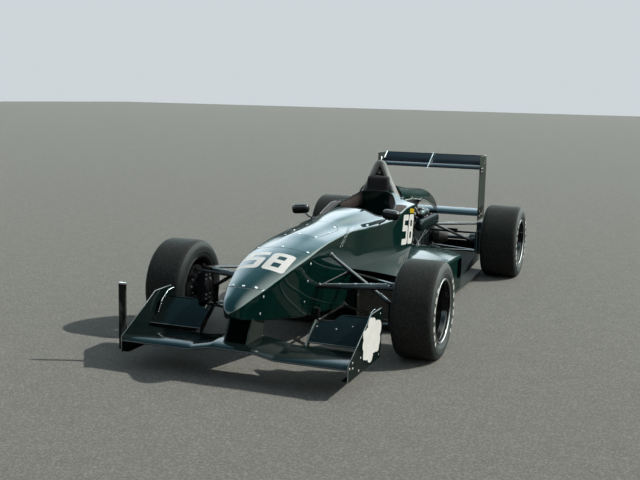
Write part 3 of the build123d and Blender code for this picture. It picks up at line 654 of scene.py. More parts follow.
def hull_top(station, x):
    """Height of the top skin at a station and a distance from the middle, mm."""
    half, chine, crown, under, foot = hull_row(station)
    t = min(1.0, abs(x) / half)
    hump = 0.66 * ease(-420, 420, station)
    broad = 1 - t ** 2.3
    core = 0.21 + 0.16 * ease(200, 800, station)
    narrow = 0.0 if t > 0.93 else 1.0 / (1.0 + math.exp((t - 0.18 - core) / 0.085))
    narrow = narrow * (1 - ease(0.62, 0.95, t))
    return chine + (crown - chine) * ((1 - hump) * broad + hump * narrow)


def hull_side_x(station, z):
    """Distance of the side skin from the middle at a height, mm: it leans in towards the floor."""
    half, chine, crown, under, foot = hull_row(station)
    low = 12.0
    t = min(1.0, max(0.0, (z - under - low) / (chine - 9 - under - low)))
    return foot + (half - foot) * (1 - (1 - t) ** 0.85)


def hull_section(station, grow=0.0, shrink=1.0):
    """Closed section as (x, z) in mm, the same number of points at each station."""
    half, chine, crown, under, foot = hull_row(station)
    low = 12.0
    foot = hull_side_x(station, under + low)
    points = []
    for k in range(7):
        turn = math.pi * 1.5 + (math.pi / 2) * k / 6
        points.append((foot - low + low * math.cos(turn), under + low + low * math.sin(turn)))
    side_steps = 10
    for k in range(1, side_steps):
        z = under + low + (chine - 9 - under - low) * k / side_steps
        points.append((hull_side_x(station, z), z))
    lip = 7.0
    points.append((half, chine - lip))
    points.append((half - 0.6, chine - 3.0))
    points.append((half - 2.6, chine - 0.4))
    top_steps = 40
    for k in range(1, top_steps):
        t = 1 - k / top_steps
        x = (half - 3.5) * t
        points.append((x, hull_top(station, x)))
    right = [(-x, z) for x, z in reversed(points)]
    points.append((0.0, hull_top(station, 0)))
    outline = points + right
    middle_z = (chine + under) / 2
    tip_z = under + 0.42 * (chine - under)
    result = []
    for x, z in outline:
        if grow:
            x = x - grow * (1 if x > 0 else -1 if x < 0 else 0) * min(1.0, abs(x) / 40.0)
            z = z - grow if z > middle_z else z + grow
        result.append((x * shrink, tip_z + (z - tip_z) * shrink))
    return result


def hull_stations(start, end, step):
    count = max(2, int(round((end - start) / step)) + 1)
    return [start + (end - start) * k / (count - 1) for k in range(count)]


def hull_rings(stations, grow=0.0, round_nose=False):
    rings = []
    for station in stations:
        shrink = 1.0
        if round_nose and station < -810:
            t = (station + 900) / 90.0
            shrink = max(0.12, (1 - (1 - t) ** 2.3) ** (1 / 2.3))
        section = hull_section(station, grow, shrink)
        rings.append([(x / 1000, front(station), z / 1000) for x, z in section])
    return rings


nose_stations = [-900, -899.6, -898.8, -897.5, -895.5, -892.5, -888.5, -883, -876, -868, -858, -846, -832, -816] + hull_stations(-800, -250, 22)
tub_stations = hull_stations(-224, 1490, 26)
outer_rings = hull_rings(nose_stations + tub_stations, 0.0, True)
body_skin = loft("body_skin", outer_rings, mats["body_green"], "root", "body_green", True, 38)

inner_rings = hull_rings(hull_stations(-228, 1462, 65), 16.0)
inner_void = loose(
    "inner_void",
    [p for ring in inner_rings for p in ring],
    grid_faces(len(inner_rings), len(inner_rings[0]), wrap_columns=True)
    + [tuple(range(len(inner_rings[0])))]
    + [tuple(reversed(range((len(inner_rings) - 1) * len(inner_rings[0]), len(inner_rings) * len(inner_rings[0]))))],
)

# station, half-width of the cockpit mouth
MOUTH = [
    (880, 0), (884, 74), (896, 112), (920, 142), (960, 172), (1030, 198), (1110, 210), (1180, 211),
    (1250, 203), (1330, 180), (1400, 150), (1436, 126), (1454, 100), (1461, 66), (1462, 0),
]


def mouth_outline(samples=44, inset=0.0):
    """Closed plan outline of the cockpit mouth as (x, station), left side then right side."""
    stations = []
    for k in range(samples + 1):
        turn = math.pi * k / samples
        stations.append(1171 - 291 * math.cos(turn))
    left = [(max(0.0, smooth_between(MOUTH, 1, s) - inset), s) for s in stations]
    right = [(-x, s) for x, s in reversed(left[1:-1])]
    return left + right


outline = mouth_outline()
cut_low, cut_high = 0.48, 0.9
mouth_cut = loose(
    "mouth_cut",
    [(x / 1000, front(s), cut_low) for x, s in outline] + [(x / 1000, front(s), cut_high) for x, s in outline],
    grid_faces(2, len(outline), wrap_columns=True)
    + [tuple(range(len(outline)))]
    + [tuple(reversed(range(len(outline), 2 * len(outline))))],
)
boolean(body_skin, inner_void)
boolean(body_skin, mouth_cut)
remove(inner_void, mouth_cut)
finish_mesh(body_skin, mats["body_green"], True, 32)

tank_bay = box_object(
    "tank_bay", (-0.19, front(1478), 0.042), (0.19, front(1560), 0.72), mats["body_green"], "root", 0.004
)
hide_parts("nose_cone", "monocoque")

# ---------------------------------------------------------------- engine cover
# station, half-width, lower edge height, crown height (mm)
COVER = [
    (1560.3, 168, 690, 812),
    (bay_station(0.26), 160, 676, 768),
    (bay_station(0.4), 155, 660, 746),
    (bay_station(0.61), 150, 630, 720),
    (bay_station(0.88), 135, 572, 692),
    (2710, 118, 524, 655),
    (2870, 105, 476, 598),
    (2950, 92, 456, 555),
]


def cover_section(station, inset):
    half, edge, crown = [smooth_between(COVER, column, station) for column in (1, 2, 3)]
    half -= inset
    crown -= inset
    points = []
    steps = 24
    for k in range(steps + 1):
        turn = math.pi * k / steps
        cx = math.cos(turn)
        cz = math.sin(turn)
        x = half * (abs(cx) ** 0.62) * (1 if cx > 0 else -1 if cx < 0 else 0)
        z = edge + (crown - edge) * (abs(cz) ** 0.8)
        points.append((x / 1000, front(station), z / 1000))
    return points


cover_stations = [1560.3, 1568] + [1580 + (2936 - 1580) * k / 44 for k in range(45)] + [2944, 2950]
cover_outer = [cover_section(s, 0.0) for s in cover_stations]
cover_inner = [cover_section(s, 4.0) for s in cover_stations]
count = len(cover_outer[0])
rings = [outer + list(reversed(inner)) for outer, inner in zip(cover_outer, cover_inner)]
cover = loft("cover_skin", rings, mats["body_green"], "root", "body_green", True, 38)
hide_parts("engine_cover")

# ---------------------------------------------------------------- sidepods
# station, outer wall, height of the top at the wall, height of the top extended to x = 150
POD = [
    (448, 558, 345, 380),
    (738, 566, 338, 384),
    (1490, 566, 289, 412),
    (bay_station(0.119), 566, 289, 368),
    (bay_station(0.284), 566, 279, 334),
    (bay_station(0.514), 350, 278, 284),
    (bay_station(0.633), 300, 259, 262),
]
POD_SMOOTH = [(448, 0), (1860, 0)]


def pod_row(station):
    """Rows between which the wall runs straight, as on the real pod's flat sides."""
    for low, high in zip(POD, POD[1:]):
        if low[0] <= station <= high[0]:
            share = (station - low[0]) / (high[0] - low[0])
            return [a + share * (b - a) for a, b in zip(low[1:], high[1:])]
    return list(POD[-1][1:])


def pod_smooth_row(station):
    window = 46.0
    rows = [pod_row(min(max(station + d, POD[0][0]), POD[-1][0])) for d in (-window, -window / 2, 0, window / 2, window)]
    weights = (1, 2, 3, 2, 1)
    return [sum(w * row[i] for w, row in zip(weights, rows)) / sum(weights) for i in range(3)]


def pod_inner_x(station):
    if station < 1490:
        return hull_side_x(station, 380) - 8
    return 205.0


def pod_section(station, inset):
    outer, outer_top, top_150 = pod_smooth_row(station)
    inner = pod_inner_x(station)
    slope = (outer_top - top_150) / (outer - 150.0)
    radius = 26.0
    points = []
    steps = 8
    x_end = outer - radius
    for k in range(steps + 1):
        x = inner + (x_end - inner) * k / steps
        bulge = 7.0 * math.sin(math.pi * k / steps)
        points.append((x, top_150 + slope * (x - 150) + bulge))
    corner_z = top_150 + slope * (x_end - 150)
    for k in range(1, 7):
        turn = math.pi / 2 * (1 - k / 6)
        points.append((outer - radius + radius * math.cos(turn), corner_z - radius + radius * math.sin(turn)))
    wall_top = corner_z - radius
    for k in range(1, 6):
        points.append((outer, wall_top + (42.3 - wall_top) * k / 5))
    result = []
    for x, z in points:
        if inset:
            x = x - inset if x > outer - radius * 1.01 else x
            z = z - inset if z > 60 and x <= outer - inset - 1 else z
            x = min(x, outer - inset)
        result.append((x, z))
    return result


def pod_object(side):
    name = "left" if side > 0 else "right"
    stations = [448, 450, 456] + [470 + (2240 - 470) * k / 70 for k in range(71)] + [bay_station(0.633)]
    rings = []
    for station in stations:
        outer = pod_section(station, 0.0)
        inner = pod_section(station, 5.0)
        ring = outer + list(reversed(inner))
        rings.append([(side * x / 1000, front(station), z / 1000) for x, z in ring])
    pod = loft("pod_skin_" + name, rings, mats["body_green"], "root", "body_green", True, 38)
    slot_low, slot_high = bay_station(0.128), bay_station(0.261)
    outline = []
    corner = 20.0
    for cs, cz, start in (
        (slot_high - corner, 264 - corner, 0),
        (slot_low + corner, 264 - corner, 90),
        (slot_low + corner, 122 + corner, 180),
        (slot_high - corner, 122 + corner, 270),
    ):
        for k in range(5):
            turn = math.radians(start + 22.5 * k)
            outline.append((cs + corner * math.cos(turn), cz + corner * math.sin(turn)))
    cutter = loose(
        "slot_cut",
        [(side * 0.52, front(s), z / 1000) for s, z in outline] + [(side * 0.6, front(s), z / 1000) for s, z in outline],
        grid_faces(2, len(outline), wrap_columns=True)
        + [tuple(range(len(outline)))]
        + [tuple(reversed(range(len(outline), 2 * len(outline))))],
    )
    boolean(pod, cutter)
    remove(cutter)
    finish_mesh(pod, mats["body_green"], True, 32)
    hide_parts("sidepod_" + name)
    return pod


pods = [pod_object(1), pod_object(-1)]

# ---------------------------------------------------------------- softened edges on kept nodes
for node_name, width in (
    ("front_endplate_left", 0.0015), ("front_endplate_right", 0.0015),
    ("rear_endplate_left", 0.0012), ("rear_endplate_right", 0.0012),
    ("engine", 0.006), ("gearbox", 0.006), ("airbox", 0.006), ("headrest", 0.006),
    ("front_upright_left", 0.003), ("front_upright_right", 0.003),
    ("rear_upright_left", 0.003), ("rear_upright_right", 0.003), ("rain_light", 0.003),
    ("radiators", 0.002), ("timing_strut", 0.0012),
):
    bevel = nodes[node_name].modifiers.new("soft", "BEVEL")
    bevel.width = width
    bevel.segments = 2
    bevel.limit_method = "ANGLE"
    bevel.angle_limit = math.radians(35)
for node in nodes.values():
    node.data.shade_smooth()
    node.data.set_sharp_from_angle(angle=math.radians(32))

# Wheels: shapes are worked out for the left side and mirrored for the right one
WHEELS = {
    "front": {"x": 0.754, "y": front(0), "z": 0.277, "half": 121.0, "radius": 277.0, "plate": -14.0},
    "rear": {"x": 0.7285, "y": rear(0), "z": 0.288, "half": 146.0, "radius": 288.0, "plate": -22.0},
}


def tyre_side(half, radius):
    """Outer half of the tyre's section, from the bead to the crown, as (x, r) in mm."""
    bead = half - 15.4
    wall = (182.5 + radius) / 2 - 4
    return [
        (bead, 165.8), (bead + 0.4, 174), (bead + 1.6, 181), (bead + 3.6, 185), (bead + 6.2, 187.5),
        (bead + 7.6, 190.5), (bead + 7.2, 192.6), (bead + 8.6, 196), (half - 4.2, 201.5), (half - 2.6, 206),
        (half - 1.4, 207.2), (half - 1.3, 209.0), (half - 1.7, 210.2), (half - 0.6, 216), (half - 0.1, wall - 4),
        (half, wall + 2), (half - 0.4, wall + 9), (half - 1.5, wall + 16), (half - 2.2, wall + 17.4),
        (half - 2.4, wall + 19.2), (half - 3.4, wall + 20.4), (half - 5.6, radius - 24), (half - 9.0, radius - 17),
        (half - 13.5, radius - 11), (half - 19, radius - 6.4), (half - 26, radius - 3.2), (half - 34, radius - 1.4),
        (half - 46, radius - 0.4), (half - 64, radius), (20, radius),
    ]


def wall_x(profile, r):
    for (x0, r0), (x1, r1) in zip(profile, profile[1:]):
        if r0 <= r <= r1:
            return x0 + (x1 - x0) * (r - r0) / (r1 - r0)
    return profile[0][0]


def wheel_ring(name, profile, steps, spec, sign, mat, body, slot=None, closed=True, sharp=30):
    metres = [(sign * x / 1000, r / 1000) for x, r in profile]
    return lathe(name, metres, steps, (sign * spec["x"], spec["y"], spec["z"]), mat, body, slot, closed, sharp)


def wheel_point(spec, sign, x, r, turn):
    """Point on a wheel from its distance along the axle, its radius and its angle, all mm and radians."""
    return (
        sign * (spec["x"] + x / 1000),
        spec["y"] + r / 1000 * math.cos(turn),
        spec["z"] + r / 1000 * math.sin(turn),
    )


def dress_tyre(end, side, sign):
    spec = WHEELS[end]
    body = "wheel_" + end + "_" + side
    profile = tyre_side(spec["half"], spec["radius"])
    whole = profile + [(-x, r) for x, r in reversed(profile)]
    tyre = wheel_ring("tyre_skin_" + end + "_" + side, whole, 120, spec, sign, extra["tyre_wall"], body, "rubber_tyre")
    tyre.data.materials.append(extra["tyre_tread"])
    limit = (spec["half"] - 16) / 1000
    for face in tyre.data.polygons:
        reach = abs(abs(face.center.x) - spec["x"])
        face.material_index = 1 if reach < limit else 0
    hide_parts(end + "_tyre_" + side)
    verts = []
    faces = []
    low = 214.0
    high = low + 0.26 * (spec["radius"] - 185)
    for word in (0, 1):
        middle = math.pi * (1 - word)
        for k in range(7):
            begin = middle + math.radians(-44 + 13.2 * k)
            finish = begin + math.radians(8.6 if k % 3 else 6.4)
            base = len(verts)
            rows, columns = 4, 7
            for i in range(rows):
                r = low + (high - low) * i / (rows - 1)
                for j in range(columns):
                    turn = begin + (finish - begin) * j / (columns - 1)
                    verts.append(wheel_point(spec, sign, wall_x(profile, r) + 0.5, r, turn))
            faces += grid_faces(rows, columns, offset=base)
    mesh_object("tyre_dashes_" + end + "_" + side, verts, faces, extra["tyre_paint"], body, "rubber_tyre", True)


def rim_barrel(half):
    edge = half - 7
    outer = [
        (edge - 8, 164.6), (edge - 8, 179.5), (edge - 7.2, 181.4), (edge - 5.5, 182.3), (edge - 3, 182.2),
        (edge - 1, 180.8), (edge, 178.2), (edge - 0.2, 175.4), (edge - 1.8, 172.6), (edge - 5, 170.2),
        (edge - 12, 167.4), (edge - 16, 164.0), (edge - 18, 160.5), (edge - 22, 158.6), (edge - 40, 158.2),
        (edge - 43, 156.8), (edge - 46, 156.2), (edge - 52, 156.0),
    ]
    return outer + [(-x, r) for x, r in reversed(outer)]


def plate_mesh(spec):
    """Wheel plate with eight lightened windows, in the car's frame on the left side."""
    p = spec["plate"]
    profile = [
        (p, 36), (p, 88), (p + 2, 92), (p + 2, 134), (p, 140), (p, 157.2), (p + 22, 157.2), (p + 22, 146),
        (p + 18, 140), (p + 13, 134), (p + 12, 96), (p + 17, 84), (p + 21.4, 74), (p + 22, 66), (p + 22, 36),
    ]
    rings = lathe_points([(x / 1000, r / 1000) for x, r in profile], 96, (spec["x"], spec["y"], spec["z"]))
    plate = loose("plate", [q for ring in rings for q in ring], grid_faces(96, len(profile), True, True))
    cutters = []
    for k in range(8):
        turn = 2 * math.pi * (k + 0.5) / 8
        verts = []
        for x in (p - 10, p + 40):
            for j in range(28):
                around = 2 * math.pi * j / 28
                r = 112 + 27.5 * math.cos(around)
                across = 30.0 * math.sin(around) * (1 + 0.16 * math.cos(around))
                verts.append(
                    (
                        spec["x"] + x / 1000,
                        spec["y"] + (r * math.cos(turn) - across * math.sin(turn)) / 1000,
                        spec["z"] + (r * math.sin(turn) + across * math.cos(turn)) / 1000,
                    )
                )
        cutters.append(
            loose(
                "window", verts,
                grid_faces(2, 28, True) + [tuple(range(28))] + [tuple(reversed(range(28, 56)))],
            )
        )
    cutter = join("windows", [set_plain(c) for c in cutters])
    boolean(plate, cutter)
    remove(cutter)
    mesh = plate.data
    bpy.data.objects.remove(plate)
    return mesh


def set_plain(obj):
    obj.data.materials.append(extra["seam_and_shade_dark"])
    return obj


def dress_rim(end, side, sign, mesh):
    spec = WHEELS[end]
    body = "wheel_" + end + "_" + side
    half = spec["half"]
    p = spec["plate"]
    barrel = wheel_ring("rim_skin_" + end + "_" + side, rim_barrel(half), 120, spec, sign, mats["rim_black"], body, "rim_black")
    plate = bpy.data.objects.new("rim_plate", mesh.copy())
    bpy.context.scene.collection.objects.link(plate)
    if sign < 0:
        plate.data.transform(Matrix.Diagonal((-1, 1, 1, 1)))
    finish_mesh(plate, mats["rim_black"], True, 30)
    nut = [
        (p + 20, 20), (p + 20, 34), (p + 23, 36), (p + 30, 36), (p + 34, 34), (p + 35, 31), (p + 36, 30),
        (p + 50, 27), (p + 53, 25.5), (p + 54, 23), (p + 54, 13), (p + 50, 11.5), (p + 36, 11), (p + 36, 0.2),
    ]
    cap = wheel_ring("nut", nut, 48, spec, sign, extra["steel"], body, None, False)
    pieces = [barrel, plate, cap]
    for k in range(16):
        turn = 2 * math.pi * k / 16
        pieces.append(bolt_on_wheel(spec, sign, p + 21.6, 150.5, turn, 4.2, 4.0))
    for k in range(5):
        turn = 2 * math.pi * (k + 0.25) / 5
        pieces.append(bolt_on_wheel(spec, sign, p + 21.4, 52, turn, 6.5, 7.0))
    skin = join("rim_skin_" + end + "_" + side, pieces)
    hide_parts(end + "_rim_" + side)
    edge = half - 7
    ring = [(edge - 4.2, 182.5), (edge - 2.0, 182.1), (edge - 0.4, 180.6), (edge + 0.4, 178.2), (edge + 0.1, 175.2), (edge - 1.4, 172.6), (edge - 3.0, 171.4), (edge - 3.4, 174)]
    wheel_ring("rim_lip_" + end + "_" + side, ring, 120, spec, sign, extra["rim_lip"], body, "rim_black")
    valve = [wheel_point(spec, sign, half - 34 + 10 * k, 152.5 - 2.4 * k, 0.4) for k in range(3)]
    tube("valve_" + end + "_" + side, valve, [0.004, 0.0032, 0.0026], extra["steel"], body, "rim_black", 8)


def bolt_on_wheel(spec, sign, x, r, turn, radius, height):
    """Six-sided bolt head that points out along the axle."""
    centre = wheel_point(spec, sign, x, r, turn)
    verts = []
    for h, grow in ((-1.0, 1.0), (height * 0.8, 1.0), (height, 0.8)):
        for k in range(6):
            around = math.pi * k / 3
            verts.append(
                (
                    centre[0] + sign * h / 1000,
                    centre[1] + radius * grow / 1000 * math.cos(around),
                    centre[2] + radius * grow / 1000 * math.sin(around),
                )
            )
    obj = loose("head", verts, grid_faces(3, 6, True) + [tuple(range(6))] + [tuple(reversed(range(12, 18)))])
    obj.data.materials.append(extra["steel"])
    obj.data.shade_flat()
    return obj


for end_name in ("front", "rear"):
    plate_shape = plate_mesh(WHEELS[end_name])
    for side_name, side_sign in (("left", 1), ("right", -1)):
        dress_tyre(end_name, side_name, side_sign)
        dress_rim(end_name, side_name, side_sign, plate_shape)


# ---------------------------------------------------------------- painted marks and body trim
def split_flat(polygons, step_x, step_y):
    """Flat polygons cut into small facets, so that they can lie on a curved skin."""
    flat = bmesh.new()
    for polygon in polygons:
        flat.faces.new([flat.verts.new((x, y, 0)) for x, y in polygon])
    xs = [x for polygon in polygons for x, y in polygon]
    ys = [y for polygon in polygons for x, y in polygon]
    for axis, low, high, step in ((0, min(xs), max(xs), step_x), (1, min(ys), max(ys), step_y)):
        at = low + step
        while at < high - step * 0.2:
            place = (at, 0, 0) if axis == 0 else (0, at, 0)
            normal = (1, 0, 0) if axis == 0 else (0, 1, 0)
            bmesh.ops.bisect_plane(flat, geom=flat.verts[:] + flat.edges[:] + flat.faces[:], plane_co=place, plane_no=normal)
            at += step
    bmesh.ops.triangulate(flat, faces=[f for f in flat.faces if len(f.verts) > 4])
    return flat


def decal(name, polygons, place, mat, steps=(14, 14)):
    """Thin paint on a skin: place turns a flat point into a point of the frame."""
    flat = split_flat(polygons, *steps)
    for vert in flat.verts:
        vert.co = place(vert.co.x, vert.co.y)
    mesh = bpy.data.meshes.new(name)
    flat.to_mesh(mesh)
    flat.free()
    obj = bpy.data.objects.new(name, mesh)
    bpy.context.scene.collection.objects.link(obj)
    obj.data.materials.append(mat)
    obj.data.shade_smooth()
    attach(obj, "root")
    return obj


def rounded(points, radii):
    """Outline with some corners turned to arcs; a radius of 0 keeps the corner."""
    result = []
    for i, (point, radius) in enumerate(zip(points, radii)):
        if not radius:
            result.append(point)
            continue
        here = Vector(point)
        before = (Vector(points[i - 1]) - here).normalized()
        after = (Vector(points[(i + 1) % len(points)]) - here).normalized()
        for k in range(5):
            t = k / 4
            start, end = here + before * radius, here + after * radius
            mid = here
            result.append(tuple(start * (1 - t) ** 2 + mid * 2 * t * (1 - t) + end * t ** 2))
    return result


FIVE = [rounded(
    [(0, 140), (98, 140), (98, 113), (32, 113), (32, 90), (100, 90), (100, 0), (0, 0), (0, 28), (68, 28), (68, 63), (0, 63)],
    [8, 3, 3, 0, 0, 22, 22, 8, 3, 0, 0, 6],
)]
EIGHT = [
    rounded([(0, 0), (32, 0), (32, 140), (0, 140)], [20, 0, 0, 20]),
    rounded([(68, 0), (100, 0), (100, 140), (68, 140)], [0, 20, 20, 0]),
    [(32, 0), (68, 0), (68, 27), (32, 27)],
    [(32, 58), (68, 58), (68, 84), (32, 84)],
    [(32, 113), (68, 113), (68, 140), (32, 140)],
]
PAINT_LIFT = 0.7


def on_top(x, station, lift=PAINT_LIFT):
    """Point on the top skin of the nose, lifted along the skin's own normal."""
    z = hull_top(station, x)
    slope_x = (hull_top(station, x + 2) - hull_top(station, x - 2)) / 4
    slope_s = (hull_top(station + 4, x) - hull_top(station - 4, x)) / 8
    up = Vector((-slope_x, -slope_s, 1)).normalized() * lift
    return ((x + up.x) / 1000, front(station + up.y), (z + up.z) / 1000)


def on_side(side, station, z, lift=PAINT_LIFT):
    return (side * (hull_side_x(station, z) + lift) / 1000, front(station), z / 1000)


def nose_digit(name, shapes, low, high, start, end):
    """A digit on the nose top, read from in front of the car."""
    def place(u, v):
        return on_top(low + (high - low) * u / 100, start + (end - start) * v / 140)
    decal(name, shapes, place, extra["white_mark"])


nose_digit("nose_number_5", FIVE, -140, -13, -543, -338)
nose_digit("nose_number_8", EIGHT, 5, 133, -543, -338)


def side_digit(name, shapes, side, start, end):
    """A digit on the tub's side; the row of digits drops a little towards the rear."""
    def place(u, v):
        station = start + (end - start) * u / 100
        drop = 0.09 * (station - 1232)
        return on_side(side, station, 420 - drop + 212 * v / 140)
    decal(name, shapes, place, extra["white_mark"], steps=(20, 14))


for side, first, second in ((1, ("5", FIVE), ("8", EIGHT)), (-1, ("8", EIGHT), ("5", FIVE))):
    label = "left" if side > 0 else "right"
    spans = ((1228, 1352), (1366, 1482))
    for (digit, shapes), (start, end) in zip((first, second), spans):
        if side < 0:
            start, end = end, start
        side_digit("side_number_%s_%s" % (digit, label), shapes, side, start, end)


def strip(name, path, width, mat, place, slot="body_green", height=0.0):
    """Ribbon along a path on a skin; with a height it is a low raised bead."""
    rings = []
    for i, (a, b) in enumerate(path):
        before = Vector(path[max(0, i - 1)])
        after = Vector(path[min(len(path) - 1, i + 1)])
        along = (after - before).normalized()
        across = Vector((-along.y, along.x)) * width / 2
        low = PAINT_LIFT * 0.4
        rings.append(
            [
                place(a - across.x, b - across.y, low),
                place(a - across.x * 0.7, b - across.y * 0.7, low + height),
                place(a + across.x * 0.7, b + across.y * 0.7, low + height),
                place(a + across.x, b + across.y, low),
            ]
        )
    faces = grid_faces(len(rings), 4)
    obj = mesh_object(name, [p for ring in rings for p in ring], faces, mat, "root", slot)
    return obj


def fine(path, count=12):
    """More points along a path, evenly on each leg."""
    result = []
    for (a, b), (c, d) in zip(path, path[1:]):
        result += [(a + (c - a) * k / count, b + (d - b) * k / count) for k in range(count)]
    return result + [path[-1]]


# the joint of the removable nose tip, the tub joint and the damper hatch
tip_joint = [(x, -742 + 30 * (x / 96) ** 2) for x in range(-92, 93, 8)]
strip("tip_joint", tip_joint, 3.0, extra["seam_and_shade_dark"], on_top, height=0.3)
# pale strip beside the tip joint: a painted highlight on the joint's edge
strip("tip_joint_highlight", [(x, s - 3.5) for x, s in tip_joint], 2.2, extra["painted_highlight_pale"], on_top, height=0.5)
tub_joint = [(x, -250) for x in range(-176, 177, 8)]
strip("tub_joint", tub_joint, 2.2, extra["seam_and_shade_dark"], on_top, height=0.2)
for side in (1, -1):
    label = "left" if side > 0 else "right"
    for name, station, low, high in (("tub_joint_side", -250, 232, 556), ("tip_joint_side", -712, 300, 446)):
        ring = [
            [on_side(side, station - 1.1, z, 0.5), on_side(side, station + 1.1, z, 0.5)]
            for z in (low + (high - low) * k / 14 for k in range(15))
        ]
        mesh_object(name + "_" + label, [p for row in ring for p in row], grid_faces(15, 2), extra["seam_and_shade_dark"], "root", "body_green")
hatch = fine([(-108, 40), (-128, 300), (-104, 372), (104, 372), (128, 300), (108, 40), (84, -2), (-84, -2), (-108, 40)], 9)
strip("damper_hatch_joint", hatch, 2.0, extra["seam_and_shade_dark"], on_top, height=0.2)


def fastener(name, point, normal, radius=0.008, body="root", mat=None, slot="black_metal"):
    """Quarter-turn fastener: dished washer and domed head."""
    rings = []
    axis = Vector(normal).normalized()
    side = axis.cross(Vector((0, 0, 1)))
    if side.length < 0.1:
        side = axis.cross(Vector((0, 1, 0)))
    side.normalize()
    other = axis.cross(side)
    profile = ((1.0, -0.3), (1.0, 0.10), (0.86, 0.17), (0.76, 0.08), (0.66, 0.10), (0.6, 0.26), (0.35, 0.36), (0.04, 0.38))
    for share, lift in profile:
        rings.append(
            [
                tuple(
                    Vector(point)
                    + (side * math.cos(2 * math.pi * k / 12) + other * math.sin(2 * math.pi * k / 12)) * radius * share
                    + axis * radius * lift
                )
                for k in range(12)
            ]
        )
    return loft(name, rings, mat or extra["steel"], body, slot, True, 40)


def skin_normal(x, station):
    slope_x = (hull_top(station, x + 3) - hull_top(station, x - 3)) / 6
    slope_s = (hull_top(station + 6, x) - hull_top(station - 6, x)) / 12
    return Vector((-slope_x, -slope_s, 1)).normalized()


heads = []
for x, s in ((-96, 25), (96, 25), (-113, 200), (113, 200), (-90, 352), (90, 352), (0, 6), (-64, -716), (64, -716), (0, -727),
             (-150, -232), (150, -232), (0, -232)):
    heads.append(fastener("head", on_top(x, s, 0), skin_normal(x, s), 0.0075))
for side in (1, -1):
    for s, z in ((-232, 300), (-232, 420), (-232, 520), (-698, 330), (-698, 420)):
        heads.append(fastener("head", on_side(side, s, z, 0), (side, 0, -0.1), 0.0075))
join("body_fasteners", heads)


# ---------------------------------------------------------------- cockpit: pads, belts, dash, wheel
def rim_point(s, side, drop=0.0, inset=0.0):
    """Point on the edge of the cockpit mouth, or below and inside it."""
    x = max(0.0, smooth_between(MOUTH, 1, s))
    return Vector((side * (x - inset) / 1000, front(s), (hull_top(s, x) - drop) / 1000))


mouth_trim = []
steps = 96
ring = []
for k in range(steps):
    turn = 2 * math.pi * k / steps
    s = 1171 - 290.5 * math.cos(turn)
    side = 1 if turn < math.pi else -1
    ring.append(rim_point(s, side, 1.5))
trim_rings = []
for k, point in enumerate(ring):
    along = (ring[(k + 1) % steps] - ring[k - 1]).normalized()
    out = along.cross(Vector((0, 0, 1))).normalized()
    up = out.cross(along).normalized()
    trim_rings.append([tuple(point + (out * math.cos(a) + up * math.sin(a)) * 0.0052) for a in (math.pi * j / 4 for j in range(8))])
mesh_object("cockpit_edge_trim", [p for r in trim_rings for p in r], grid_faces(steps, 8, True, True), mats["grip_black"], "root", "grip_black")


def pad_strip(name, stations, side, top_drop, depth, thick, mat, slot):
    """Padding along the inside of the cockpit mouth, crowned towards the driver."""
    rings = []
    last = len(stations) - 1
    for i, s in enumerate(stations):
        end = min(1.0, 0.25 + 1.6 * math.sin(math.pi * i / last))
        rim = rim_point(s, side, top_drop, 2.0)
        points = []
        for k in range(9):
            t = k / 8
            bulge = thick * end * (math.sin(math.pi * min(1, max(0, t))) ** 0.45)
            points.append(rim + Vector((-side * bulge / 1000, 0, -depth * t / 1000)))
        points.append(rim + Vector((side * 0.004, 0, -depth / 1000)))
        points.append(rim + Vector((side * 0.004, 0, 0)))
        rings.append([tuple(p) for p in points])
    obj = loft(name, rings, mat, "root", slot, True, 50)
    return obj


for side in (1, -1):
    label = "left" if side > 0 else "right"
    pad_strip("cockpit_pad_" + label, [1250 + 200 * k / 18 for k in range(19)], side, 4, 92, 24, extra["pad_brown"], "pad_grey")


# seat: one quilted liner that follows the shell, with raised bolsters and sewn channels
SEAT_LINE = [
    (934, 151), (985, 132), (1040, 111), (1090, 96), (1140, 88), (1190, 87), (1226, 94), (1252, 120), (1275, 163),
    (1300, 215), (1325, 268), (1350, 322), (1375, 377), (1397, 432), (1408, 480), (1416, 530), (1421, 574),
]


def seat_liner():
    rows = []
    columns = 33
    count = 56
    lengths = [0.0]
    for a, b in zip(SEAT_LINE, SEAT_LINE[1:]):
        lengths.append(lengths[-1] + math.dist(a, b))
    table = [(d, s, z) for d, (s, z) in zip(lengths, SEAT_LINE)]
    for i in range(count + 1):
        d = lengths[-1] * i / count
        s, z = smooth_between(table, 1, d), smooth_between(table, 2, d)
        s2, z2 = smooth_between(table, 1, d + 4), smooth_between(table, 2, d + 4)
        s1, z1 = smooth_between(table, 1, d - 4), smooth_between(table, 2, d - 4)
        along = Vector((s2 - s1, z2 - z1)).normalized()
        normal = Vector((-along.y, along.x))
        bolster = 26 + 44 * ease(180, 420, d)
        end = min(1.0, 8 * i / count, 8 * (count - i) / count) ** 0.5
        inner, outer = [], []
        for j in range(columns):
            t = -1 + 2 * j / (columns - 1)
            rise = bolster * ease(0.5, 1.0, abs(t)) * 0.9
            channel = 2.4 * (abs(math.sin(math.pi * d / 62)) ** 0.5) * (1 - ease(0.55, 0.7, abs(t)))
            crown = 4 + 9 * end * (1 - t ** 6)
            n = normal * (rise + crown * 0.8 + channel)
            inner.append((t * 153 / 1000, front(s + n.x), (z + n.y) / 1000))
            n = normal * (rise * 0.97 - 1.5)
            outer.append((t * 155.5 / 1000, front(s + n.x), (z + n.y) / 1000))
        rows.append(inner + list(reversed(outer)))
    liner = loft("seat_liner", rows, mats["seat_pad"], "root", "seat_pad", True, 50)


seat_liner()


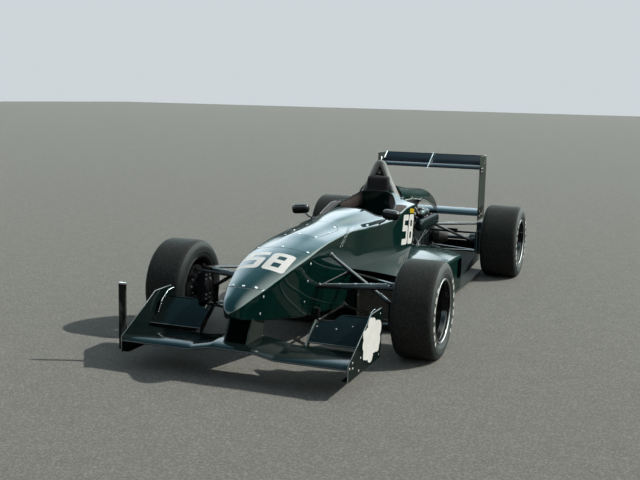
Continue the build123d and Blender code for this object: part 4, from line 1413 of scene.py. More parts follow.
def head_pad():
    """Headrest: crowned pad with a sewn border, in front of the hoop's fairing."""
    n = 28
    front_rows = []
    y_back = front(1516.4)
    rows = []
    for i in range(n + 1):
        v = -1 + 2 * i / n
        row = []
        for j in range(n + 1):
            u = -1 + 2 * j / n
            x = 0.086 * u * math.sqrt(1 - 0.18 * v * v)
            z = 0.795 + 0.073 * v * math.sqrt(1 - 0.14 * u * u)
            edge = max(abs(u), abs(v))
            crown = (1 - edge ** 5) ** 0.5 if edge < 1 else 0.0
            seam = 0.0028 * math.exp(-((edge - 0.74) / 0.035) ** 2)
            depth = 0.012 + 0.028 * crown - seam
            row.append((x, y_back - depth - 0.004 * (1 - u * u), z))
        rows.append(row)
    verts = [p for row in rows for p in row]
    faces = grid_faces(n + 1, n + 1)
    back = [(x, y_back, z) for x, y, z in verts]
    border = [j for j in range(n)] + [(n + 1) * i + n for i in range(n)] + [(n + 1) * n + j for j in range(n, 0, -1)] + [(n + 1) * i for i in range(n, 0, -1)]
    total = len(verts)
    faces += [tuple(total + k for k in reversed(f)) for f in faces]
    faces += [(a, b, total + b, total + a) for a, b in zip(border, border[1:] + border[:1])]
    pad = mesh_object("headrest_pad", verts + back, faces, mats["pad_grey"], "root", "pad_grey", True, 60)
    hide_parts("headrest")


head_pad()


def belt(name, path, width, mat):
    """Flat webbing that follows points, with its faces kept level across the car."""
    path = [Vector(p) for p in path]
    rings = []
    for i, point in enumerate(path):
        along = (path[min(i + 1, len(path) - 1)] - path[max(i - 1, 0)]).normalized()
        across = Vector((1, 0, 0)) - along * along.x
        across.normalize()
        up = across.cross(along).normalized()
        rings.append([tuple(point + across * a * width / 2 + up * b * 0.0014) for a, b in ((-1, -1), (1, -1), (1, 1), (-1, 1))])
    return loft(name, rings, mat, "root", "seat_pad", True, 30)


def on_seat(distance, x, lift):
    """Point above the seat's middle line, by station share."""
    s = smooth_between([(k, a) for k, (a, b) in enumerate(SEAT_LINE)], 1, distance)
    z = smooth_between([(k, b) for k, (a, b) in enumerate(SEAT_LINE)], 1, distance)
    ahead_s = smooth_between([(k, a) for k, (a, b) in enumerate(SEAT_LINE)], 1, distance + 0.3)
    ahead_z = smooth_between([(k, b) for k, (a, b) in enumerate(SEAT_LINE)], 1, distance + 0.3)
    along = Vector((ahead_s - s, ahead_z - z)).normalized()
    return (x / 1000, front(s - along.y * lift), (z + along.x * lift) / 1000)


for side in (1, -1):
    label = "left" if side > 0 else "right"
    shoulder = [on_seat(16 - 0.45 * k, side * (78 - 3.6 * k), 19 + 5 * math.sin(k)) for k in range(16)]
    belt("shoulder_belt_" + label, shoulder, 0.05, extra["belt_blue"])
    lap = [on_seat(6.3 + 0.05 * k, side * (146 - 12 * k), 44 - 1.4 * k) for k in range(11)]
    belt("lap_belt_" + label, lap, 0.046, extra["belt_blue"])
    for name, d in (("adjuster", 12.2), ("end_plate", 15.3)):
        x, y, z = on_seat(d, side * (78 - 3.6 * (16 - d) / 0.45), 24)
        box_object("belt_%s_%s" % (name, label), (x - 0.03, y - 0.004, z - 0.014), (x + 0.03, y + 0.004, z + 0.014),
                   extra["steel"], "root", 0.002, ("X", -24))
x, y, z = on_seat(6.8, 0, 34)
lathe_cam = [(-0.016, 0.0), (-0.016, 0.026), (-0.012, 0.03), (0.0, 0.03), (0.006, 0.024), (0.009, 0.02), (0.009, 0.0)]
buckle = lathe("belt_buckle", lathe_cam, 24, (0, 0, 0), extra["steel"], "root", "upright_metal", False)
buckle.data.transform(Matrix.Translation((x, y, z)) @ Matrix.Rotation(math.radians(62), 4, "X") @ Matrix.Rotation(math.radians(-90), 4, "Y"))

# dash: three round gauges and toggle switches on the panel in front of the wheel
dash_y = front(816.4)


def facing_rear(name, profile, centre, mat, slot, steps=28):
    """Turned part whose axis runs along the car; the profile is (depth towards the driver, radius)."""
    obj = lathe(name, profile, steps, (0, 0, 0), mat, "root", slot, False)
    obj.data.transform(Matrix.Translation(centre) @ Matrix.Rotation(math.radians(90), 4, "Z"))
    return obj


for x, radius in ((-0.098, 0.03), (0.0, 0.042), (0.098, 0.03)):
    centre = (x, dash_y, 0.548)
    facing_rear("gauge_bezel_%d" % round(x * 1000), [(0, radius + 0.004), (0.008, radius + 0.004), (0.01, radius), (0.004, radius - 0.002), (0, radius - 0.002)], centre, mats["grip_black"], "grip_black")
    facing_rear("gauge_face_%d" % round(x * 1000), [(0.0, 0.0001), (0.003, 0.0001), (0.003, radius - 0.001), (0.0, radius - 0.001)], centre, extra["gauge_face"], "grip_black")
    ticks = []
    for k in range(11):
        a = math.radians(225 - 27 * k)
        inner, outer = radius * 0.74, radius * 0.9
        p = [(centre[0] + r * math.cos(a), dash_y + 0.0034, centre[2] + r * math.sin(a)) for r in (inner, outer)]
        ticks.append(tube("tick", p, 0.0009, extra["white_mark"], "root", "grip_black", 4))
    a = math.radians(150)
    needle = [(centre[0], dash_y + 0.0046, centre[2]), (centre[0] + radius * 0.7 * math.cos(a), dash_y + 0.0046, centre[2] + radius * 0.7 * math.sin(a))]
    ticks.append(tube("needle", needle, [0.0016, 0.0006], extra["lens_red"], "root", "grip_black", 6))
    join("gauge_marks_%d" % round(x * 1000), ticks)
switches = []
for k in range(5):
    x = 0.045 + 0.03 * k
    switches.append(facing_rear("collar", [(0, 0.0001), (0, 0.007), (0.004, 0.007), (0.006, 0.005), (0.006, 0.0001)], (-x, dash_y, 0.49), extra["steel"], "upright_metal", 10))
    switches.append(tube("lever", [(-x, dash_y + 0.005, 0.49), (-x, dash_y + 0.018, 0.494)], [0.0018, 0.0032], extra["steel"], "root", "upright_metal", 8))
join("dash_switches", switches)

# steering wheel: stitched grip, spoke plate, quick-release boss and two buttons
COLUMN_TURN = math.radians(13.0)
WHEEL_CENTRE = Vector((0, front(940), 0.575))
COLUMN_TURN = Matrix.Rotation(math.radians(10.7), 4, "X")


def on_wheel(obj):
    """Moves a part drawn about the X = 0 axis of a wheel facing the driver (+Y) into its place."""
    obj.data.transform(Matrix.Translation(WHEEL_CENTRE) @ COLUMN_TURN)
    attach(obj, "steering_wheel")
    return obj


grip = []
sides = 14
for k in range(120):
    a = 2 * math.pi * k / 120
    hand = ease(0.35, 0.8, abs(math.cos(a)))
    minor = 0.0126 + 0.0022 * hand - 0.0008 * (k % 3 == 0) * hand
    grip.append(
        [
            ((0.115 + minor * math.cos(b)) * math.cos(a), minor * math.sin(b), (0.115 + minor * math.cos(b)) * math.sin(a))
            for b in (2 * math.pi * j / sides for j in range(sides))
        ]
    )
grip_obj = mesh_object("wheel_grip", [p for r in grip for p in r], grid_faces(120, sides, True, True), mats["grip_black"], "steering_wheel", "grip_black")
on_wheel(grip_obj)
spoke_plates = []
for angle in (0, 120, 240):
    a = math.radians(angle + 270)
    along = Vector((math.cos(a), 0, math.sin(a)))
    across = Vector((-math.sin(a), 0, math.cos(a)))
    rings = []
    for r, half in ((0.018, 0.024), (0.04, 0.02), (0.07, 0.014), (0.095, 0.013), (0.112, 0.018)):
        rings.append([tuple(along * r + across * half * u + Vector((0, y, 0))) for u, y in ((-1, 0.0076), (1, 0.0076), (1, 0.0112), (-1, 0.0112))])
    spoke_plates.append(loft("spoke", rings, extra["plate_alloy"], "steering_wheel", "upright_metal", True, 30))
on_wheel(join("wheel_spoke_plate", spoke_plates))
boss_profile = [(0.0, 0.0001), (0.0, 0.034), (0.006, 0.034), (0.008, 0.03), (0.008, 0.022), (0.018, 0.02), (0.021, 0.016), (0.021, 0.0001)]
boss = lathe("wheel_boss", boss_profile, 28, (0, 0, 0), extra["anodised_blue"], "steering_wheel", "upright_metal", False)
boss.data.transform(Matrix.Translation((0, 0.011, 0)) @ Matrix.Rotation(math.radians(90), 4, "Z"))
on_wheel(boss)
bolts = []
for k in range(6):
    a = math.radians(60 * k + 30)
    bolts.append(fastener("bolt", (0.026 * math.cos(a), 0.0188, 0.026 * math.sin(a)), (0, 1, 0), 0.0034, "steering_wheel"))
for x, mat in ((-0.062, extra["lens_red"]), (0.062, extra["yellow_mark"])):
    rim = facing_rear("button", [(0, 0.0001), (0, 0.0095), (0.004, 0.0095), (0.006, 0.0075), (0.009, 0.0065), (0.0095, 0.0001)], (x, 0.0112, 0.012), mat, "grip_black", 16)
    bolts.append(rim)
on_wheel(join("wheel_buttons", bolts))

# ---------------------------------------------------------------- roll hoop fairings
HOOP_Y = front(1536)


def hoop_line(t):
    """Middle of one leg of the hoop: t runs from the foot (0) to near the apex (1)."""
    return Vector((0.128 * (1 - t) + 0.0125 * t, HOOP_Y, 0.722 + (0.957 - 0.722) * t))


for side in (1, -1):
    label = "left" if side > 0 else "right"
    rings = []
    for k in range(15):
        t = k / 14
        point = hoop_line(t)
        width = 0.0205 + 0.0035 * (1 - t)
        depth = 0.0225 + 0.024 * (1 - t) ** 1.4
        ring = []
        for j in range(20):
            a = 2 * math.pi * j / 20
            c, d = math.cos(a), math.sin(a)
            ring.append((
                side * (point.x + width * (abs(c) ** 0.85) * (1 if c > 0 else -1)),
                point.y + 0.004 * (1 - t) + depth * d,
                point.z,
            ))
        rings.append(ring)
    loft("hoop_leg_fairing_" + label, rings, mats["hoop_grey"], "root", "hoop_grey", True, 40)

gusset = []
web_low, web_high = 0.868, 0.945
for y in (HOOP_Y - 0.006, HOOP_Y + 0.006):
    outline_points = []
    for z in (web_low, web_high):
        t = (z - 0.722) / (0.957 - 0.722)
        outline_points.append((hoop_line(t).x - 0.004, z))
    (low_x, low_z), (high_x, high_z) = outline_points
    gusset.append([(-low_x, y, low_z), (low_x, y, low_z), (high_x, y, high_z), (-high_x, y, high_z)])
web = loft("hoop_gusset", gusset, mats["black_metal"], "root", "black_metal", True, 30)
eye = lathe("eye_cut", [(-0.02, 0.0001), (-0.02, 0.013), (0.02, 0.013), (0.02, 0.0001)], 24, (0, 0, 0), mats["black_metal"], "root", None, False)
eye.data.transform(Matrix.Translation((0, HOOP_Y, 0.896)) @ Matrix.Rotation(math.radians(90), 4, "Z"))
boolean(web, eye)
remove(eye)
finish_mesh(web, mats["black_metal"], True, 30)
loop_path = [(-0.006 * math.cos(a), HOOP_Y + 0.02 + 0.016 * math.cos(a), 0.986 + 0.019 * math.sin(a)) for a in (math.pi * (k / 14 * 1.24 - 0.12) for k in range(15))]
tube("lifting_loop", loop_path, 0.0026, extra["edge_bright"], "root", "hoop_grey", 10)

# ---------------------------------------------------------------- mirrors: ribbed housings with a set-in glass
MIRROR_X, MIRROR_Y, MIRROR_Z = 0.315, front(795), 0.684


def mirror(side):
    label = "left" if side > 0 else "right"
    rings = []
    columns = 75
    for i in range(columns):
        x = -0.057 + 0.114 * i / (columns - 1)
        scale = max(0.0, 1 - abs(x / 0.0575) ** 5) ** 0.25
        ribbed = 0.0017 if abs(x) < 0.047 and (i % 6) < 3 else 0.0
        ring = []
        for j in range(28):
            a = 2 * math.pi * j / 28
            c, d = math.cos(a), math.sin(a)
            y = (0.026 * scale + ribbed) * (abs(c) ** 0.6) * (1 if c > 0 else -1)
            z = (0.0305 * scale + ribbed) * (abs(d) ** 0.6) * (1 if d > 0 else -1)
            y = min(y, 0.0225)
            z -= 0.05 * x * side * 0
            ring.append((x, y, z))
        rings.append(ring)
    body = loft("mirror_housing_" + label, rings, mats["mirror_black"], "root", "mirror_black", True, 42)
    pieces = [body]
    bezel, glass = [], []
    for target, half_x, half_z, y in ((bezel, 0.052, 0.0275, 0.0222), (bezel, 0.052, 0.0275, 0.0262), (glass, 0.0485, 0.0243, 0.0266)):
        target.append([
            (half_x * (abs(math.cos(a)) ** 0.4) * (1 if math.cos(a) > 0 else -1), y, half_z * (abs(math.sin(a)) ** 0.4) * (1 if math.sin(a) > 0 else -1))
            for a in (2 * math.pi * (j + 0.5) / 36 for j in range(36))
        ])
    pieces.append(loft("bezel", bezel, mats["grip_black"], "root", "mirror_black", True, 40))
    pieces.append(mesh_object("glass", glass[0], [tuple(range(36))], extra["glass_mirror"], "root", "mirror_black", False))
    whole = join("mirror_housing_" + label, pieces)
    turn = Matrix.Rotation(math.radians(5 * side), 4, "Y") @ Matrix.Rotation(math.radians(-9 * side), 4, "Z")
    whole.data.transform(Matrix.Translation((side * MIRROR_X, MIRROR_Y, MIRROR_Z)) @ turn)
    foot_x, foot_s = 228, 806
    foot = Vector((side * foot_x / 1000, front(foot_s), hull_top(foot_s, foot_x) / 1000))
    head = Vector((side * (MIRROR_X - 0.03), MIRROR_Y + 0.004, MIRROR_Z - 0.026))
    middle = (foot + head) / 2 + Vector((side * 0.004, 0, -0.006))
    stalk = [tube("mirror_stalk_" + label, [foot - Vector((0, 0, 0.004)), foot + (middle - foot) * 0.3, middle, head], [0.0075, 0.006, 0.0055, 0.006], mats["mirror_black"], "root", "mirror_black", 12)]
    stalk.append(fastener("foot", tuple(foot), skin_normal(side * foot_x, foot_s), 0.017, "root", mats["mirror_black"], "mirror_black"))
    collar = [tuple(head - Vector((side * 0.002, 0, 0.006))), tuple(head + Vector((side * 0.002, 0, 0.004)))]
    stalk.append(tube("collar", collar, 0.0095, extra["steel"], "root", "upright_metal", 12))
    join("mirror_stalk_" + label, stalk)
    return [whole, bpy.data.objects["mirror_stalk_" + label]]


mirror_pieces = mirror(1) + mirror(-1)
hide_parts("mirrors")


# ---------------------------------------------------------------- wings
def wing_loop(x, lead_s, lead_z, chord, depth, pitch, count=20):
    """Closed wing section in the frame: round nose, thin tail, fuller above than below."""
    turn = math.radians(pitch)
    points = []
    for sign, share in ((1, 0.55), (-1, 0.45)):
        for k in range(count + 1):
            t = 0.5 * (1 - math.cos(math.pi * k / count))
            if sign > 0:
                t = 1 - t
            half = 5 * (0.2969 * math.sqrt(t) - 0.126 * t - 0.3516 * t ** 2 + 0.2843 * t ** 3 - 0.1015 * t ** 4)
            h = sign * depth * 2 * share * half
            if t < 1e-6 and sign < 0:
                continue
            c = chord * t
            points.append((x / 1000, front(lead_s + c * math.cos(turn) - h * math.sin(turn)), (lead_z + c * math.sin(turn) + h * math.cos(turn)) / 1000))
    return points


def plate(name, outline, x_low, x_high, mat, slot, bevel=0.0012, body="root"):
    """Flat plate across X from an outline of (station, height)."""
    rings = [[(x / 1000, front(s), z / 1000) for s, z in outline] for x in (x_low, x_high)]
    obj = loft(name, rings, mat, body, slot, True, 30, False)
    soft = bmesh.new()
    soft.from_mesh(obj.data)
    bmesh.ops.bevel(soft, geom=[e for e in soft.edges if len(e.link_faces) == 2 and e.calc_face_angle(0) > 0.9],
                    offset=bevel, segments=2, profile=0.7, affect="EDGES")
    soft.to_mesh(obj.data)
    soft.free()
    finish_mesh(obj, mat, True, 35)
    return obj


def trim_line(name, points, radius, mat, slot, body="root"):
    return tube(name, [(x / 1000, front(s), z / 1000) for x, s, z in points], radius / 1000, mat, body, slot, 6)


WING_S, WING_Z, WING_CHORD = -882, 149, 262
spans = []
for x in [-622, -560, -480, -400, -320, -262, -240, -232, -222, -205, -180, -150, -130, -120, -112, -100, -60, -20]:
    rise = 24 * (1 - min(1, max(0, (abs(x) - 115) / 120)))
    spans.append((x, rise))
spans += [(-x, rise) for x, rise in reversed(spans)]
main_rings = [wing_loop(x, WING_S, WING_Z + rise, WING_CHORD, 31, 4) for x, rise in spans]
main_plane = loft("front_main_plane", main_rings, mats["wing_grey"], "root", "wing_grey", True, 24)
pylon_outline = [(-832, 178), (-655, 178), (-632, 214), (-612, 262), (-592, 332), (-742, 346), (-764, 300), (-792, 246), (-814, 206)]
for side in (1, -1):
    label = "left" if side > 0 else "right"
    low, high = sorted((side * 57, side * 67))
    plate("wing_pylon_" + label, pylon_outline, low, high, extra["pylon_grey"], "wing_grey", 0.0025)
# dark box filling the space between the pylons: painted shade under the nose
pylon_shade_outline = [(-824, 181), (-700, 181), (-638, 216), (-618, 262), (-600, 326), (-738, 338), (-758, 300), (-786, 246), (-806, 208)]
plate("pylon_shade_box", pylon_shade_outline, -56, 44, extra["seam_and_shade_dark"], "black_metal", 0.003)
plate("pylon_slot_plate", [(-765, 262), (-759, 262), (-737, 318), (-743, 320)], 18, 40, extra["plate_grey"], "black_metal", 0.001)
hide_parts("front_wing")


# flaps: end plates, fences, gurney strips and rivets
FLAP_TURN = math.radians(31.4)


def on_flap(x, along, lift=0.0):
    """Point on the flap's upper side, by distance along its chord."""
    t = max(0.0, min(1.0, along / 222))
    half = 18 * 1.1 * 5 * (0.2969 * math.sqrt(t) - 0.126 * t - 0.3516 * t ** 2 + 0.2843 * t ** 3 - 0.1015 * t ** 4)
    h = half + lift
    return Vector((x / 1000, front(-611 + along * math.cos(FLAP_TURN) - h * math.sin(FLAP_TURN)), (184 + along * math.sin(FLAP_TURN) + h * math.cos(FLAP_TURN)) / 1000))


flap_normal = Vector((0, -math.sin(FLAP_TURN), math.cos(FLAP_TURN)))
rivets_and_painted_glints = []
for side in (1, -1):
    label = "left" if side > 0 else "right"
    # inner end plates: pale on the left and black on the right, lit and shaded copies of one plate, painted light
    inner_end = [(-628, 168), (-612, 206), (-560, 244), (-498, 282), (-486, 262), (-540, 205), (-594, 160)]
    low, high = sorted((side * 306, side * 311))
    plate("flap_inner_end_" + label, inner_end, low, high, extra["edge_dull"] if side > 0 else mats["black_metal"], "flap_black", 0.0015)
    fence = [(-560, 236), (-520, 300), (-455, 338), (-392, 344), (-386, 318), (-430, 312), (-470, 280), (-520, 232)]
    low, high = sorted((side * 596, side * 599))
    plate("flap_fence_" + label, fence, low, high, mats["flap_black"], "flap_black", 0.001)
    # bright line along the fence's top edge: a painted highlight
    trim_line("flap_fence_highlight_" + label, [(side * 597.5, s, z + 1) for s, z in fence[:4]], 1.5, extra["edge_bright"], "flap_black")
    # pale line along the flap's leading edge: a painted highlight
    lead = [on_flap(side * x, 1.5, 1.6) for x in (312, 467, 621)]
    tube("flap_leading_edge_highlight_" + label, lead, 0.0018, extra["painted_highlight_pale"], "root", "flap_black", 6)
    tail = [on_flap(side * x, 219, 3.5) for x in (446, 621)]
    tube("flap_gurney_" + label, tail, 0.0035, mats["flap_black"], "root", "flap_black", 8)
    # rivet heads: the white ones on the left flap are painted glints, the rest plain black
    for x, along in ((325, 112), (433, 108), (512, 140), (330, 30), (470, 30), (606, 30), (606, 120), (606, 196), (520, 205)):
        rivets_and_painted_glints.append(fastener("dot", tuple(on_flap(side * x, along, 0.2)), flap_normal, 0.0052, "root", extra["white_mark"] if along > 100 and x < 520 and side > 0 else mats["black_metal"]))
    # endplate: lighter lines along the top, front and foot edges as painted highlights, a foot strip, rivets
    outer = side * 626
    trim_line("endplate_top_highlight_" + label, [(outer, s, z + 0.5) for s, z in ((-882, 170), (-714, 260), (-546, 350.6), (-378, 350.6), (-358, 330))], 2.3, extra["painted_highlight_pale"], "wing_grey")
    trim_line("endplate_front_edge_" + label, [(outer, -883.5, z) for z in (92, 130, 170)], 2.3, extra["painted_highlight_pale"], "wing_grey")
    trim_line("endplate_foot_highlight_" + label, [(outer, s, 89.5) for s in (-880, -620, -385)], 2.0, extra["edge_dull"], "wing_grey")
    low, high = sorted((side * 590, side * 622))
    plate("endplate_foot_" + label, [(-872, 90), (-392, 90), (-392, 93.5), (-872, 93.5)], low, high, mats["flap_black"], "flap_black", 0.0008)
    for s, z in ((-872, 158), (-830, 176), (-826, 148), (-708, 170), (-736, 112), (-410, 110), (-400, 326)):
        rivets_and_painted_glints.append(fastener("dot", (side * 0.6302, front(s), z / 1000), (side, 0, 0), 0.0055, "root", extra["steel"] if s > -700 else extra["white_mark"]))
join("wing_rivets", rivets_and_painted_glints)

# blank sticker on the left endplate, with a scalloped edge
cloud = [
    (-602, 327), (-581, 340), (-540, 333), (-492, 320), (-485, 305), (-440, 300), (-400, 287), (-386, 270), (-383, 244),
    (-402, 214), (-397, 183), (-412, 160), (-424, 134), (-470, 141), (-512, 146), (-520, 124), (-540, 106), (-581, 112),
    (-600, 132), (-648, 143), (-672, 152), (-668, 190), (-685, 218), (-672, 246), (-684, 290), (-640, 292), (-606, 298),
]


def scalloped(points, bulge=7.0, count=5):
    """Closed outline whose every leg swells outwards."""
    middle = sum((Vector(p) for p in points), Vector((0, 0))) / len(points)
    result = []
    for a, b in zip(points, points[1:] + points[:1]):
        a, b = Vector(a), Vector(b)
        out = Vector(((b - a).y, -(b - a).x)).normalized()
        if out.dot((a + b) / 2 - middle) < 0:
            out = -out
        for k in range(count):
            t = k / count
            result.append(tuple(a + (b - a) * t + out * bulge * math.sin(math.pi * t)))
    return result


def on_left_endplate(u, v):
    return (0.6309, front(u), v / 1000)


decal("endplate_sticker", [scalloped(cloud, 3.5)], on_left_endplate, extra["white_mark"], (30, 30))

# timing strut: bolt heads and a bright cap
strut = [box_object("cap", (-0.7085, front(-782), 0.424), (-0.6645, front(-770), 0.4335), extra["edge_bright"], "root", 0.0015)]
for z in (0.128, 0.156):
    strut.append(fastener("bolt", (-0.65, front(-792.3), z), (0, -1, 0), 0.006, "root"))
join("timing_strut_fittings", strut)

# ---------------------------------------------------------------- rear wing, plates, beam wing and lamp
REAR_S = 2650.0


def rear_loop(x, lead, lead_z, chord, depth, pitch):
    return wing_loop(x, REAR_S + lead, lead_z, chord, depth, pitch)


upper_main = loft("rear_main_plane", [rear_loop(x, 280, 842, 176, 24, 12) for x in (-449, -300, -150, 0, 150, 300, 449)], mats["rear_wing_blue"], "root", "rear_wing_blue", True, 24)
upper_flap = loft("rear_flap", [rear_loop(x, 428, 876, 119, 17, 33) for x in (-449, -300, -150, 0, 150, 300, 449)], mats["rear_wing_blue"], "root", "rear_wing_blue", True, 24)
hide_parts("rear_wing")
lower_wing = loft("beam_wing_skin", [rear_loop(x, 276, 444, 152, 27, 18) for x in (-449, -300, -150, 0, 150, 300, 449)], mats["teal"], "root", "teal", True, 24)
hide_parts("beam_wing")
rib = [(2934, 838), (2960, 848), (3050, 858), (3108, 878), (3186, 940), (3181, 946), (3096, 900), (3030, 878), (2948, 868)]
plate("rear_wing_rib", rib, -2, 2, extra["edge_dull"], "rear_wing_blue", 0.001)
rivets = []
for side in (1, -1):
    label = "left" if side > 0 else "right"
    x = side * 452
    # lighter lines along the top and front edges of the plate: painted highlights
    trim_line("rear_plate_top_edge_" + label, [(x, s, 945) for s in (2926, 3050, 3188)], 2.2, extra["painted_highlight_pale"], "rear_wing_blue")
    trim_line("rear_plate_front_edge_" + label, [(x, 2924.5, z) for z in (402, 660, 943)], 2.2, extra["edge_dull"], "rear_wing_blue")
    low, high = sorted((side * 455, side * 461))
    plate("rear_plate_doubler_" + label, [(2930, 806), (3020, 806), (3020, 858), (2930, 858)], low, high, mats["black_metal"], "black_metal", 0.002)
    plate("rear_plate_lower_doubler_" + label, [(2930, 424), (3080, 424), (3096, 520), (2930, 500)], low, high, mats["black_metal"], "black_metal", 0.002)
    for s, z in ((2944, 820), (3006, 820), (2944, 846), (3006, 846), (2944, 440), (2944, 484), (3010, 450), (3070, 450), (3140, 905), (3172, 930), (3100, 884)):
        rivets.append(fastener("rivet", (side * 0.4612 if z < 860 else side * 0.4552, front(s), z / 1000), (side, 0, 0), 0.006, "root"))
join("rear_plate_bolts", rivets)
gurney = [(x, 3181.5, 943) for x in (-449, 0, 449)]
trim_line("rear_gurney", gurney, 2.6, mats["black_metal"], "rear_wing_blue")
lens = []
for row in range(3):
    for column in range(5):
        x, z = -0.028 + 0.014 * column, 0.278 + 0.014 * row
        cell = facing_rear("cell", [(0, 0.0001), (0, 0.0058), (0.002, 0.0055), (0.0042, 0.003), (0.0046, 0.0001)], (x, front(2950), z), extra["lens_red"], "lamp_red", 12)
        lens.append(cell)
join("rain_light_lens", lens)
for side in (1, -1):
    label = "left" if side > 0 else "right"
    # pale lines along the scoop's front edges and top: painted highlights
    scoop_edge_highlights = [
        [(side * 572, 2456, z) for z in (200, 285, 370)],
        [(side * 548, 2452, z) for z in (198, 285, 374)],
        [(side * 572, 2456, 372), (side * 574, 2500, 374), (side * 574, 2544, 372)],
    ]
    join("scoop_edge_highlights_" + label, [trim_line("edge", path, 3.0, extra["painted_highlight_pale"], "teal") for path in scoop_edge_highlights])

# bright lines on the edges of the plate let into the wing where the pylons stand: painted highlights
for side in (1, -1):
    label = "left" if side > 0 else "right"
    marks = []
    for run in (((20, -685), (31, -600), (31, -548)), ((88, -673), (130, -716), (172, -748))):
        marks.append([(side * x, s, 173 if s > -650 else 176) for x, s in run])
    join("pylon_plate_highlights_" + label, [trim_line("edge", path, 1.6, extra["painted_highlight_pale"], "wing_grey") for path in marks])

# bright ribs across the upper wing: one in the middle, one at each end of the flap
plate("wing_centre_tie", [(2884, 832), (2900, 824), (3106, 946), (3098, 960)], -2.2, 2.2, extra["edge_bright"], "rear_wing_blue", 0.001)
for side in (1, -1):
    label = "left" if side > 0 else "right"
    trim_line("flap_end_rib_" + label, [(side * 446, 3084, 893), (side * 446, 3170, 949)], 3.2, extra["edge_bright"], "rear_wing_blue")


# ---------------------------------------------------------------- engine bay
def capsule(name, start, end, radius, mat, slot, squash=(1, 1), sides=20, rounding=5):
    """Round-ended tank along Y between two points, widened and flattened by squash."""
    rings = []
    length = end[1] - start[1]
    steps = [(-1, k) for k in range(rounding)] + [(1, rounding - 1 - k) for k in range(rounding)]
    for sign, k in steps:
        a = math.pi / 2 * k / (rounding - 1)
        share = max(0.04, math.sin(a))
        y = start[1] + radius * (1 - math.cos(a)) if sign < 0 else end[1] - radius * (1 - math.cos(a))
        t = (y - start[1]) / length
        cx = start[0] + (end[0] - start[0]) * t
        cz = start[2] + (end[2] - start[2]) * t
        rings.append([
            (cx + radius * squash[0] * share * math.cos(b), y, cz + radius * squash[1] * share * math.sin(b))
            for b in (2 * math.pi * j / sides for j in range(sides))
        ])
    return loft(name, rings, mat, "root", slot, True, 40)


def hose(name, points, radius, mat, slot="black_metal", ends=True, body="root"):
    """Smooth hose through points, with a hexagon fitting at each end."""
    path = []
    pts = [Vector((x / 1000, front(s), z / 1000)) for x, s, z in points]
    padded = [pts[0] * 2 - pts[1]] + pts + [pts[-1] * 2 - pts[-2]]
    for i in range(1, len(padded) - 2):
        a, b, c, d = padded[i - 1:i + 3]
        for k in range(7):
            t = k / 7
            path.append(0.5 * (2 * b + (c - a) * t + (2 * a - 5 * b + 4 * c - d) * t * t + (3 * b - a - 3 * c + d) * t ** 3))
    path.append(pts[-1])
    pieces = [tube(name, path, radius / 1000, mat, body, slot, 10)]
    if ends:
        for p, q, finish in ((path[0], path[1], extra["anodised_blue"]), (path[-1], path[-2], extra["anodised_red"])):
            along = (q - p).normalized()
            pieces.append(tube("fitting", [p - along * 0.004, p + along * 0.016], radius / 1000 * 1.45, finish, body, slot, 6))
            pieces.append(tube("fitting", [p + along * 0.016, p + along * 0.026], radius / 1000 * 1.25, finish, body, slot, 6))
    return join(name, pieces)


BAY = 1560.0
# plenum in place of the plain box, its four pipes with clips, and the tank above it
plenum = []
for k in range(34):
    s = 1832 + (2368 - 1832) * k / 33
    end = min(1.0, 0.5 + (s - 1832) / 40, 0.5 + (2368 - s) / 40)
    rib = 1.8 if k % 4 == 1 else 0.0
    ring = []
    for j in range(24):
        b = 2 * math.pi * j / 24
        c, d = math.cos(b), math.sin(b)
        ring.append((
            (226 + (30 * end + rib) * (abs(c) ** 0.7) * (1 if c > 0 else -1)) / 1000,
            front(s),
            (476 + (43 * end + rib) * (abs(d) ** 0.7) * (1 if d > 0 else -1)) / 1000,
        ))
    plenum.append(ring)
plenum_obj = loft("intake_plenum", plenum, mats["airbox_grey"], "root", "airbox_grey", True, 30)
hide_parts("airbox")
runners = []
for k in range(4):
    s = 1862 + k * (1990 - 1862) / 3 if k < 0 else 1860 + k * 43.3
    path = [(92, s, 474), (126, s, 482), (160, s + 2, 482), (198, s + 4, 476)]
    runners.append(hose("runner", path, 16.5, mats["black_metal"], ends=False))
    for x in (104, 186):
        runners.append(tube("clip", [(x / 1000, front(s + 2), 0.479), ((x + 8) / 1000, front(s + 2), 0.479)], 0.0185, extra["steel"], "root", "black_metal", 14))
join("intake_runners", runners)
tank = capsule("header_tank", (0.178, front(2002), 0.541), (0.178, front(2236), 0.541), 0.028, extra["tank_metal"], "airbox_grey", (1.05, 1.0))
for s in (2050, 2186):
    tube("tank_strap_%d" % s, [(0.178, front(s), 0.541), (0.178, front(s + 12), 0.541)], 0.0305, extra["steel"], "root", "black_metal", 20)
    box_object("tank_foot_%d" % s, (0.168, front(s), 0.508), (0.19, front(s + 12), 0.524), mats["black_metal"], "root", 0.002)
cap = [(0.0, 0.0001), (0.0, 0.016), (0.012, 0.018), (0.014, 0.014), (0.014, 0.0001)]
cap_obj = lathe("tank_cap", cap, 18, (0, 0, 0), extra["steel"], "root", "upright_metal", False)
cap_obj.data.transform(Matrix.Translation((0.178, front(2100), 0.566)) @ Matrix.Rotation(math.radians(-90), 4, "Y"))

